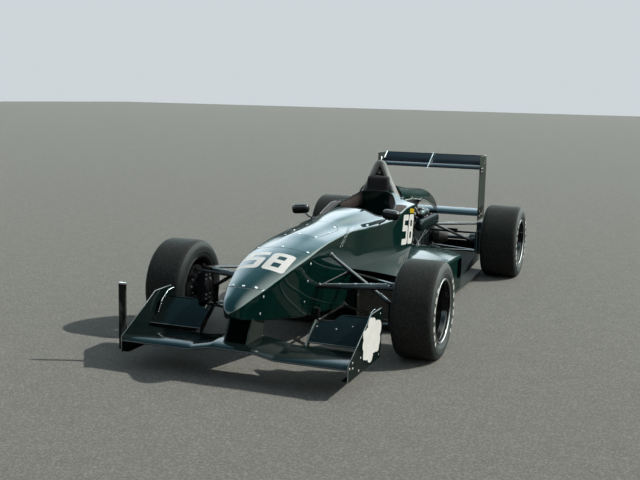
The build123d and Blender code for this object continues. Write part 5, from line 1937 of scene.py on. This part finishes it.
# cylinder head: cover bolts, plug leads; block ribs; filter, alternator, control box
heads = []
for x in (-48, 48):
    for k in range(6):
        heads.append(fastener("bolt", (x / 1000, front(BAY + 48 + 72 * k), 0.5615), (0, 0, 1), 0.006, "root"))
join("cam_cover_bolts", heads)
leads = []
for k in range(4):
    s = BAY + 90 + 96 * k
    leads.append(tube("plug", [(0, front(s), 0.53), (0, front(s), 0.556)], [0.011, 0.009], mats["grip_black"], "root", "black_metal", 10))
    leads.append(hose("lead", [(0, s, 556), (6, s + 8, 575), (20, s - 20, 580), (30, 1600, 572), (34, 1574, 560)], 3.6, extra["hose_black"], ends=False))
join("plug_leads", leads)
ribs = []
for k in range(9):
    s = BAY + 34 + 50 * k
    ribs.append(box_object("rib", (0.111, front(s), 0.145), (0.122, front(s + 9), 0.392), mats["engine_alloy"], "root", 0.002))
ribs.append(box_object("rail", (0.111, front(BAY + 12), 0.383), (0.124, front(BAY + 460), 0.4), mats["engine_alloy"], "root", 0.002))
join("block_ribs", ribs)
turned = [(0, 0.0001), (0, 0.026), (0.008, 0.034), (0.012, 0.0375), (0.07, 0.0375), (0.08, 0.03), (0.082, 0.0001)]
lathe("oil_filter", turned, 28, (0.112, front(1700), 0.245), extra["filter_dark"], "root", "black_metal", False)
turned = [(0, 0.0001), (0, 0.038), (0.02, 0.04), (0.022, 0.046), (0.03, 0.046), (0.032, 0.04), (0.058, 0.04), (0.062, 0.034), (0.07, 0.014), (0.09, 0.014), (0.09, 0.0001)]
lathe("alternator", turned, 28, (0.112, front(1850), 0.19), mats["engine_alloy"], "root", "engine_alloy", False)
unit = [box_object("unit", (0.124, front(1612), 0.41), (0.178, front(1752), 0.448), extra["plate_alloy"], "root", 0.004)]
for k in range(7):
    s = 1622 + 18 * k
    unit.append(box_object("fin", (0.126, front(s), 0.447), (0.176, front(s + 5), 0.456), extra["plate_alloy"], "root", 0.001))
unit.append(box_object("foot", (0.11, front(1620), 0.405), (0.16, front(1744), 0.411), mats["black_metal"], "root", 0.001))
join("control_unit", unit)

for name, points, radius, mat in (
    ("oil_line_upper", [(150, 1562, 600), (196, 1640, 640), (206, 1760, 622), (190, 1900, 575), (180, 2004, 546)], 8, extra["hose_braid"]),
    ("oil_line_lower", [(186, 1562, 470), (214, 1640, 430), (206, 1760, 372), (160, 1890, 330), (128, 2010, 306)], 8, extra["hose_braid"]),
    ("water_hose", [(190, 1536, 250), (236, 1620, 262), (248, 1740, 300), (200, 1850, 360), (112, 1920, 386)], 17, extra["hose_black"]),
    ("fuel_line", [(120, 1562, 520), (150, 1620, 505), (162, 1740, 520), (170, 1840, 500)], 5, extra["hose_braid"]),
    ("brake_line_rear", [(128, 1562, 350), (226, 1680, 330), (240, 1960, 420), (190, 2240, 440), (150, 2440, 420), (128, 2560, 400)], 3.2, extra["hose_black"]),
    ("breather", [(60, 2010, 556), (110, 2060, 566), (150, 2120, 578), (172, 2180, 570)], 9, extra["hose_black"]),
):
    hose(name, points, radius, mat, ends=radius > 4 and mat is extra["hose_braid"])
# crossed bay stays from the tub's rear corner to the bell housing
for name, start, end in (
    ("bay_stay_upper", (184, 1560.5, 300), (146, 2032, 424)),
    ("bay_stay_lower", (184, 1560.5, 452), (146, 2032, 252)),
):
    path = [start, end]
    pieces = [trim_line(name, path, 6.5, mats["hoop_grey"], "hoop_grey")]
    for (x, s, z) in path:
        pieces.append(tube("eye", [((x - 8) / 1000, front(s), z / 1000), ((x + 8) / 1000, front(s), z / 1000)], 0.012, extra["steel"], "root", "upright_metal", 12))
    join(name, pieces)

# gearbox: ribs, dampers with springs over it, and covers at the shaft outputs
case = []
for k in range(8):
    s = 2340 + 48 * k
    for side in (1, -1):
        low, high = sorted((side * 116, side * 124))
        case.append(box_object("rib", (low / 1000, front(s), 0.16), (high / 1000, front(s + 8), 0.4), mats["gearbox_alloy"], "root", 0.002))
join("gear_case_ribs", case)
for side in (1, -1):
    label = "left" if side > 0 else "right"
    start = Vector((side * 0.085, front(2472), 0.47))
    end = Vector((side * 0.068, front(2232), 0.47))
    along = (end - start).normalized()
    damper = [
        tube("damper_" + label, [start, start + along * 0.11], 0.017, extra["steel"], "root", "upright_metal", 16),
        tube("rod", [start + along * 0.1, end], 0.007, extra["steel"], "root", "upright_metal", 12),
        tube("seat", [start + along * 0.03, start + along * 0.038], 0.027, extra["anodised_blue"], "root", "upright_metal", 20),
        tube("seat", [end - along * 0.03, end - along * 0.022], 0.027, extra["anodised_blue"], "root", "upright_metal", 20),
        tube("canister", [start + Vector((side * 0.04, 0, -0.004)), start + Vector((side * 0.04, -0.11, -0.004))], 0.016, extra["anodised_red"], "root", "upright_metal", 16),
        tube("mount", [end, end + Vector((0, 0, -0.06))], [0.012, 0.016], mats["gearbox_alloy"], "root", "gearbox_alloy", 12),
        tube("mount", [start, start + Vector((0, 0, -0.045))], [0.012, 0.016], mats["gearbox_alloy"], "root", "gearbox_alloy", 12),
    ]
    side_axis = along.cross(Vector((0, 0, 1))).normalized()
    up_axis = side_axis.cross(along)
    coil = []
    turns = 7
    length = (end - start).length - 0.07
    for k in range(turns * 14 + 1):
        a = 2 * math.pi * k / 14
        coil.append(start + along * (0.04 + length * k / (turns * 14)) + side_axis * 0.024 * math.cos(a) + up_axis * 0.024 * math.sin(a))
    damper.append(tube("spring", coil, 0.0042, extra["spring_grey"], "root", "upright_metal", 8))
    join("rear_damper_" + label, damper)
    drum = [(0.1535, 0.02), (0.1535, 0.06), (0.162, 0.068), (0.206, 0.07), (0.214, 0.064), (0.238, 0.05), (0.262, 0.032), (0.266, 0.02)]
    lathe("shaft_boot_" + label, [(side * x, r) for x, r in drum], 32, (0, 1.505, 0.288), extra["boot_grey"], "wheel_rear_" + label, "black_metal")

# diffuser: rear lip, and upright fences under it
lip = [box_object("diffuser_lip", (-0.47, front(2934), 0.158), (0.47, front(2946), 0.224), extra["lip_dark"], "root", 0.003)]
for k in range(12):
    x = -0.44 + 0.08 * k
    lip.append(box_object("rib", (x - 0.003, front(2900), 0.15), (x + 0.003, front(2934), 0.215), extra["lip_dark"], "root", 0.001))
join("diffuser_lip", lip)
# painted highlights along the cover's lower edge and the pod's inner and rear edges, and latches
cover_highlight_points = [(smooth_between(COVER, 1, s) + 1, s, smooth_between(COVER, 2, s)) for s in (1566 + (COVER[-1][0] - 1568) * k / 40 for k in range(41))]
for side in (1, -1):
    label = "left" if side > 0 else "right"
    trim_line("cover_edge_highlight_" + label, [(side * x, s, z) for x, s, z in cover_highlight_points], 5.0, extra["painted_highlight_beige"], "body_green")
    # pale lines along the pod's inner and rear edges: painted highlights
    edge = []
    for k in range(24):
        s = 1496 + (2226 - 1496) * k / 23
        x, z = pod_section(s, 0.0)[0]
        edge.append((side * x, s, z - 1))
    trim_line("pod_inner_edge_highlight_" + label, edge, 4.2, extra["painted_highlight_pale"], "body_green")
    rear_edge = [(side * x, 2251, z - 1) for x, z in pod_section(2250, 0.0)[:15]]
    trim_line("pod_rear_edge_" + label, rear_edge, 4.0, extra["painted_highlight_pale"], "body_green")
    latches = []
    for s in (1600, 1850, 2150):
        x, z = smooth_between(COVER, 1, s), smooth_between(COVER, 2, s)
        latches.append(box_object("latch", ((side * x) / 1000 - 0.004, front(s - 14), z / 1000 - 0.016), ((side * x) / 1000 + 0.004, front(s + 14), z / 1000 + 0.014), extra["steel"], "root", 0.002))
        latches.append(tube("pin", [((side * x) / 1000 + 0.004 * side, front(s), z / 1000), ((side * x) / 1000 + 0.009 * side, front(s), z / 1000)], 0.006, mats["black_metal"], "root", "black_metal", 10))
    join("cover_latches_" + label, latches)
yellow = rounded([(0, 0), (130, 0), (130, 34), (0, 34)], [6, 6, 6, 6])


def on_left_side(u, v):
    return on_side(1, 1366 + u * 0.86, 632 - 0.12 * u + v * 0.92)


decal("yellow_patch", [yellow], on_left_side, extra["yellow_mark"])


# painted glints on both flanks: broken pale dashes on two slanting lines
for side in (1, -1):
    dashes = []
    for row, shift in enumerate((0, 34)):
        for k in range(7):
            u, v = k / 7, (k + 0.5 + 0.2 * (k % 2)) / 7
            ends = []
            for q in (u, v):
                s = 205 + (330 - 205) * q + shift
                z = 549 + (660 - 549) * q
                ends.append((side * (hull_side_x(s, z) + 1.2), s, z))
            dashes.append(trim_line("dash", ends, 3.2 - 0.8 * row, extra["painted_highlight_pale"], "body_green"))
    join("flank_glints_" + ("left" if side > 0 else "right"), dashes)

# dull pads on the deck beside the cockpit mouth, with a pale line outside as a painted highlight
pad_stations = [978 + (1338 - 978) * k / 14 for k in range(15)]
for side in (1, -1):
    label = "left" if side > 0 else "right"
    inner, outer = [], []
    for k, s in enumerate(pad_stations):
        a, b = smooth_between(MOUTH, 1, s) + 8, hull_row(s)[0] - 3
        share = 0.5 - 0.5 * min(1.0, k / 2, (14 - k) / 2)
        inner.append((side * (a + (b - a) * share), s))
        outer.append((side * (b - (b - a) * share * 0.4), s))
    ordered = inner + outer[::-1] if side < 0 else outer + inner[::-1]
    decal("deck_pad_" + label, [ordered], lambda u, v: on_top(u, v, 2.4), extra["pad_brown"], (24, 24))
    # pale line along the pad's outer side: a painted highlight
    edge = []
    for x, s in outer:
        point = on_top(x, s, 3.0)
        edge.append((point[0] * 1000, s, point[2] * 1000))
    trim_line("deck_pad_highlight_" + label, edge, 2.6, extra["painted_highlight_pale"], "body_green")


# ---------------------------------------------------------------- suspension, brakes and radiators
KINGPIN = 617.0
PUSHROD_FRONT = ((556, 36, 279), (145, 68, 545))
FRONT_ARMS = (
    ("upper", (KINGPIN, 0, 394), ((152, -62, 361), (174, 380, 371))),
    ("lower", (KINGPIN, 0, 172), ((148, -50, 155), (164, 345, 168))),
)
REAR_ARMS = (
    ("upper", (540, 2650, 417), ((108, 2351, 417), (80, 2800, 378))),
    ("lower", (540, 2650, 186), ((100, 2294, 233), (80, 2800, 190))),
)


def place(x, s, z):
    return Vector((x / 1000, front(s), z / 1000))


def sleeve(a, b, chord, depth, mat, slot, sides=20):
    """Streamlined tube between two points: wide across, thin in height."""
    along = (b - a).normalized()
    wide = along.cross(Vector((0, 0, 1))).normalized()
    high = wide.cross(along)
    rings = []
    for t, share in ((0.0, 0.55), (0.02, 0.9), (0.05, 1.0), (0.95, 1.0), (0.98, 0.9), (1.0, 0.55)):
        c = a.lerp(b, t)
        rings.append([
            c + wide * chord * share * math.cos(q) + high * depth * share * math.sin(q)
            for q in (2 * math.pi * j / sides for j in range(sides))
        ])
    return loft("sleeve", rings, mat, "root", slot, True, 40)


def collar(a, b, start, stop, radius, mat, sides=6, body="root", slot="upright_metal"):
    """Short bar on the line from a to b, between two shares of its length."""
    return tube("collar", [a.lerp(b, start), a.lerp(b, stop)], radius, mat, body, slot, sides)


for end_name, arms, outer_gap in (("front", FRONT_ARMS, 52.0), ("rear", REAR_ARMS, 34.0)):
    for side in (1, -1):
        label = "left" if side > 0 else "right"
        finish = extra["arm_black"] if end_name == "front" else extra["arm_dull"]
        for level, joint, pickups in arms:
            pieces = []
            outer = place(side * joint[0], joint[1], joint[2])
            for x, s, z in pickups:
                inner = place(side * x, s, z)
                share = 1 - outer_gap / 1000 / (outer - inner).length
                start = inner.lerp(outer, 0.05)
                stop = inner.lerp(outer, share)
                pieces.append(sleeve(start, stop, 0.0162, 0.0082, finish, "black_metal"))
                pieces.append(collar(inner, outer, 0.035, 0.085, 0.0115, mats["upright_metal"]))
                pieces.append(tube("ball", [inner - Vector((0, 0.012, 0)), inner + Vector((0, 0.012, 0))], 0.0185, mats["upright_metal"], "root", "upright_metal", 16))
                pieces.append(tube("nut", [inner - Vector((0, 0.021, 0)), inner - Vector((0, 0.0115, 0))], 0.0115, extra["steel"], "root", "upright_metal", 6))
                pieces.append(tube("nut", [inner + Vector((0, 0.0115, 0)), inner + Vector((0, 0.021, 0))], 0.0115, extra["steel"], "root", "upright_metal", 6))
            # brake pipe held to the leading arm by clips
            if level == "upper":
                lead = [place(side * pickups[0][0], pickups[0][1], pickups[0][2]).lerp(outer, t) + Vector((0, 0.0, 0.0125)) for t in (0.08, 0.3, 0.6, 0.84)]
                pieces.append(tube("pipe", lead, 0.0028, extra["hose_braid"], "root", "black_metal", 8))
                for t in (0.25, 0.5, 0.75):
                    at = lead[0].lerp(lead[-1], t)
                    pieces.append(tube("clip", [at - Vector((0.004 * side, 0, 0)), at + Vector((0.004 * side, 0, 0))], 0.0052, extra["steel"], "root", "black_metal", 8))
            join("arm_sleeves_%s_%s_%s" % (end_name, level, label), pieces)

# rear pushrod ends and lock nuts
for side in (1, -1):
    label = "left" if side > 0 else "right"
    a, b = place(side * 545, 2610, 248), place(side * 105, 2490, 436)
    join("pushrod_ends_rear_" + label, [
        collar(a, b, 0.03, 0.12, 0.0125, mats["upright_metal"]),
        collar(a, b, 0.13, 0.15, 0.0145, extra["anodised_blue"]),
        collar(a, b, 0.86, 0.96, 0.0125, mats["upright_metal"]),
        collar(a, b, 0.16, 0.85, 0.0105, extra["arm_dull"], 20, "root", "black_metal"),
    ])

# front pushrods: ends of the rods and their rocker links
for side in (1, -1):
    label = "left" if side > 0 else "right"
    a, b = place(side * PUSHROD_FRONT[0][0], PUSHROD_FRONT[0][1], PUSHROD_FRONT[0][2]), place(side * PUSHROD_FRONT[1][0], PUSHROD_FRONT[1][1], PUSHROD_FRONT[1][2])
    join("pushrod_ends_front_" + label, [
        collar(a, b, 0.06, 0.14, 0.0122, mats["upright_metal"]),
        collar(a, b, 0.15, 0.165, 0.014, mats["upright_metal"]),
        collar(a, b, 0.87, 0.93, 0.0122, mats["upright_metal"]),
        collar(a, b, 0.17, 0.87, 0.0105, extra["arm_black"], 20, "root", "black_metal"),
    ])
    cover = a.lerp(b, 0.93)
    join("rocker_boss_" + label, [
        tube("boss", [cover - Vector((0, 0.014, 0)), cover + Vector((0, 0.014, 0))], 0.0135, mats["upright_metal"], "root", "upright_metal", 18),
        tube("bolt", [cover - Vector((0, 0.02, 0)), cover + Vector((0, 0.02, 0))], 0.0065, extra["bolt_bright"], "root", "upright_metal", 6),
    ])

# uprights: bright bolts and caps
for index, (body, x_kp, station, axle, side) in enumerate((
    ("front_upright_left", KINGPIN, 0, 277, 1), ("front_upright_right", KINGPIN, 0, 277, -1),
    ("root", 556, 2650, 288, 1), ("root", 556, 2650, 288, -1),
)):
    label = ("front" if index < 2 else "rear") + ("_left" if side > 0 else "_right")
    pieces = []
    face = x_kp - 27 if index < 2 else x_kp - 14
    for z in (axle - 74, axle - 48, axle + 48, axle + 74):
        for dy in (-24, 24):
            p = place(side * face, station + dy, z)
            pieces.append(tube("bolt", [p, p - Vector((side * 0.006, 0, 0))], 0.0062, extra["bolt_bright"], body, "upright_metal", 6))
    inner = place(side * (x_kp + 19) if index < 2 else side * 559, station + 111, axle)
    for dz in (-22, 22):
        p = inner + Vector((0, 0, dz / 1000))
        pieces.append(tube("bolt", [p, p - Vector((side * 0.008, 0, 0))], 0.0075, extra["bolt_bright"], body, "upright_metal", 6))
    p = inner + Vector((0, 0.006, 0.0))
    pieces.append(tube("cap", [p, p - Vector((side * 0.007, 0, 0))], 0.017, extra["steel"], body, "upright_metal", 20))
    pieces.append(tube("cap", [p - Vector((side * 0.007, 0, 0)), p - Vector((side * 0.01, 0, 0))], 0.012, mats["black_metal"], body, "upright_metal", 20))
    join("upright_bolts_" + label, pieces)

# ring of disc bobbins on each turning hub
for body, x_in, station, axle, side in (
    ("wheel_front_left", KINGPIN + 44.5, 0, 277, 1), ("wheel_front_right", KINGPIN + 44.5, 0, 277, -1),
):
    pieces = []
    for k in range(10):
        turn = 2 * math.pi * k / 10
        p = place(side * x_in, station, axle) + Vector((0, 0.067 * math.cos(turn), 0.067 * math.sin(turn)))
        pieces.append(tube("bobbin", [p + Vector((side * 0.003, 0, 0)), p - Vector((side * 0.0022, 0, 0))], 0.0068, extra["bolt_bright"], body, "disc_iron", 12))
    join("disc_bobbins_" + body[6:], pieces)

# radiator cores: frame, fins and end tanks on the faces of the plain blocks
for side in (1, -1):
    label = "left" if side > 0 else "right"
    x_in = hull_side_x(545, 150) + 9
    low = [side * x_in / 1000, side * 0.546]
    x0, x1 = min(low), max(low)
    pieces = [box_object("core", (x0, front(540), 0.046), (x1, front(546), 0.246), mats["core_black"], "root")]
    for k in range(25):
        z = 0.05 + 0.0078 * k
        pieces.append(box_object("tube", (x0 + 0.004, front(536.5), z), (x1 - 0.004, front(540.5), z + 0.0024), extra["core_tube"], "root"))
    for xa, xb in ((x0, x0 + 0.014), (x1 - 0.014, x1)):
        pieces.append(box_object("tank", (xa, front(532), 0.044), (xb, front(547), 0.248), extra["core_tube"], "root", 0.002))
    for z in (0.09, 0.2):
        at = Vector(((x0 if side > 0 else x1) + side * 0.007, front(532), z))
        pieces.append(tube("bolt", [at, at - Vector((0, 0.006, 0))], 0.007, extra["bolt_bright"], "root", "core_black", 6))
    join("radiator_core_" + label, pieces)


# ---------------------------------------------------------------- stage, light and camera
floor_mat = material(
    "asphalt", (0.158, 0.158, 0.147), 0.9, second=(0.127, 0.127, 0.118), scale=9.0, bump=0.9, bump_scale=150.0,
    specular=0.05, speckle=(0.31, 0.31, 0.285), speckle_scale=95.0,
)
floor_mesh = bpy.data.meshes.new("ground")
floor_mesh.from_pydata([(-60, -40, 0), (60, -40, 0), (60, 90, 0), (-60, 90, 0)], [], [(0, 1, 2, 3)])
ground = bpy.data.objects.new("ground", floor_mesh)
bpy.context.scene.collection.objects.link(ground)
ground.data.materials.append(floor_mat)

SUN_DIRECTION = Vector((0.70, 0.27, 0.66)).normalized()
world = bpy.data.worlds.new("sky")
bpy.context.scene.world = world
world.use_nodes = True
tree = world.node_tree
tree.nodes.clear()
output = tree.nodes.new("ShaderNodeOutputWorld")
coords = tree.nodes.new("ShaderNodeTexCoord")
split = tree.nodes.new("ShaderNodeSeparateXYZ")
tree.links.new(coords.outputs["Generated"], split.inputs[0])
scale_z = tree.nodes.new("ShaderNodeMapRange")
scale_z.inputs["From Min"].default_value = -1.0
scale_z.inputs["From Max"].default_value = 1.0
tree.links.new(split.outputs["Z"], scale_z.inputs["Value"])


def sky_ramp(stops):
    """Colour by height over the horizon; 0.5 is level and 1 is straight up."""
    ramp = tree.nodes.new("ShaderNodeValToRGB")
    ramp.color_ramp.elements[0].position = stops[0][0]
    ramp.color_ramp.elements[0].color = (*stops[0][1], 1)
    ramp.color_ramp.elements[1].position = stops[-1][0]
    ramp.color_ramp.elements[1].color = (*stops[-1][1], 1)
    for position, color in stops[1:-1]:
        ramp.color_ramp.elements.new(position).color = (*color, 1)
    tree.links.new(scale_z.outputs[0], ramp.inputs["Fac"])
    return ramp


plain_sky = sky_ramp([(0.0, (0.10, 0.10, 0.09)), (0.5, (0.20, 0.20, 0.195)), (1.0, (0.22, 0.25, 0.29))])
shown_sky = sky_ramp(
    [
        (0.0, (0.03, 0.03, 0.028)),
        (0.5, (0.014, 0.016, 0.015)),
        (0.56, (0.03, 0.038, 0.036)),
        (0.585, (0.16, 0.21, 0.22)),
        (0.62, (1.0, 1.14, 1.2)),
        (0.70, (0.95, 1.18, 1.32)),
        (0.765, (0.46, 0.70, 0.82)),
        (0.82, (0.12, 0.27, 0.34)),
        (1.0, (0.07, 0.17, 0.25)),
    ]
)
toward_sun = tree.nodes.new("ShaderNodeVectorMath")
toward_sun.operation = "DOT_PRODUCT"
toward_sun.inputs[1].default_value = SUN_DIRECTION
tree.links.new(coords.outputs["Generated"], toward_sun.inputs[0])
glow = tree.nodes.new("ShaderNodeMapRange")
glow.interpolation_type = "SMOOTHERSTEP"
glow.inputs["From Min"].default_value = 0.42
glow.inputs["From Max"].default_value = 1.0
glow.inputs["To Min"].default_value = 0.0
glow.inputs["To Max"].default_value = 1.0
tree.links.new(toward_sun.outputs["Value"], glow.inputs["Value"])
hazy = tree.nodes.new("ShaderNodeMix")
hazy.data_type = "RGBA"
hazy.inputs["B"].default_value = (2.7, 3.0, 2.9, 1)
tree.links.new(glow.outputs[0], hazy.inputs["Factor"])
tree.links.new(shown_sky.outputs["Color"], hazy.inputs["A"])
diffuse_sky = tree.nodes.new("ShaderNodeBackground")
diffuse_sky.inputs["Strength"].default_value = 1.0
tree.links.new(plain_sky.outputs["Color"], diffuse_sky.inputs["Color"])
mirrored_sky = tree.nodes.new("ShaderNodeBackground")
mirrored_sky.inputs["Strength"].default_value = 5.2
tree.links.new(hazy.outputs["Result"], mirrored_sky.inputs["Color"])
seen = tree.nodes.new("ShaderNodeBackground")
seen.inputs["Color"].default_value = (0.62, 0.67, 0.7, 1)
seen.inputs["Strength"].default_value = 1.0
path = tree.nodes.new("ShaderNodeLightPath")
glossy_choice = tree.nodes.new("ShaderNodeMixShader")
tree.links.new(path.outputs["Is Glossy Ray"], glossy_choice.inputs["Fac"])
tree.links.new(diffuse_sky.outputs[0], glossy_choice.inputs[1])
tree.links.new(mirrored_sky.outputs[0], glossy_choice.inputs[2])
choose = tree.nodes.new("ShaderNodeMixShader")
tree.links.new(path.outputs["Is Camera Ray"], choose.inputs["Fac"])
tree.links.new(glossy_choice.outputs[0], choose.inputs[1])
tree.links.new(seen.outputs[0], choose.inputs[2])
tree.links.new(choose.outputs[0], output.inputs["Surface"])

sun_data = bpy.data.lights.new("sun", "SUN")
sun_data.energy = 3.4
sun_data.angle = math.radians(1.0)
sun_data.color = (1.0, 0.97, 0.9)
sun = bpy.data.objects.new("sun", sun_data)
bpy.context.scene.collection.objects.link(sun)
sun.rotation_euler = SUN_DIRECTION.to_track_quat("Z", "Y").to_euler()

yaw = math.radians(20.911)
pitch = math.radians(8.999)
roll = math.radians(1.344)
ahead = Vector((-math.sin(yaw) * math.cos(pitch), math.cos(yaw) * math.cos(pitch), -math.sin(pitch)))
level = Vector((math.cos(yaw), math.sin(yaw), 0))
up = level.cross(ahead)
right = level * math.cos(roll) + up * math.sin(roll)
upward = -level * math.sin(roll) + up * math.cos(roll)
camera_data = bpy.data.cameras.new("camera")
camera_data.sensor_width = 36.0
camera_data.lens = 921.70 / 640 * 36.0
camera = bpy.data.objects.new("camera", camera_data)
bpy.context.scene.collection.objects.link(camera)
place = Matrix.Identity(4)
for row in range(3):
    place[row][0] = right[row]
    place[row][1] = upward[row]
    place[row][2] = -ahead[row]
    place[row][3] = (1.99314, -6.01758, 1.44291)[row]
camera.matrix_world = place
bpy.context.scene.camera = camera

scene = bpy.context.scene
scene.view_settings.view_transform = "Standard"
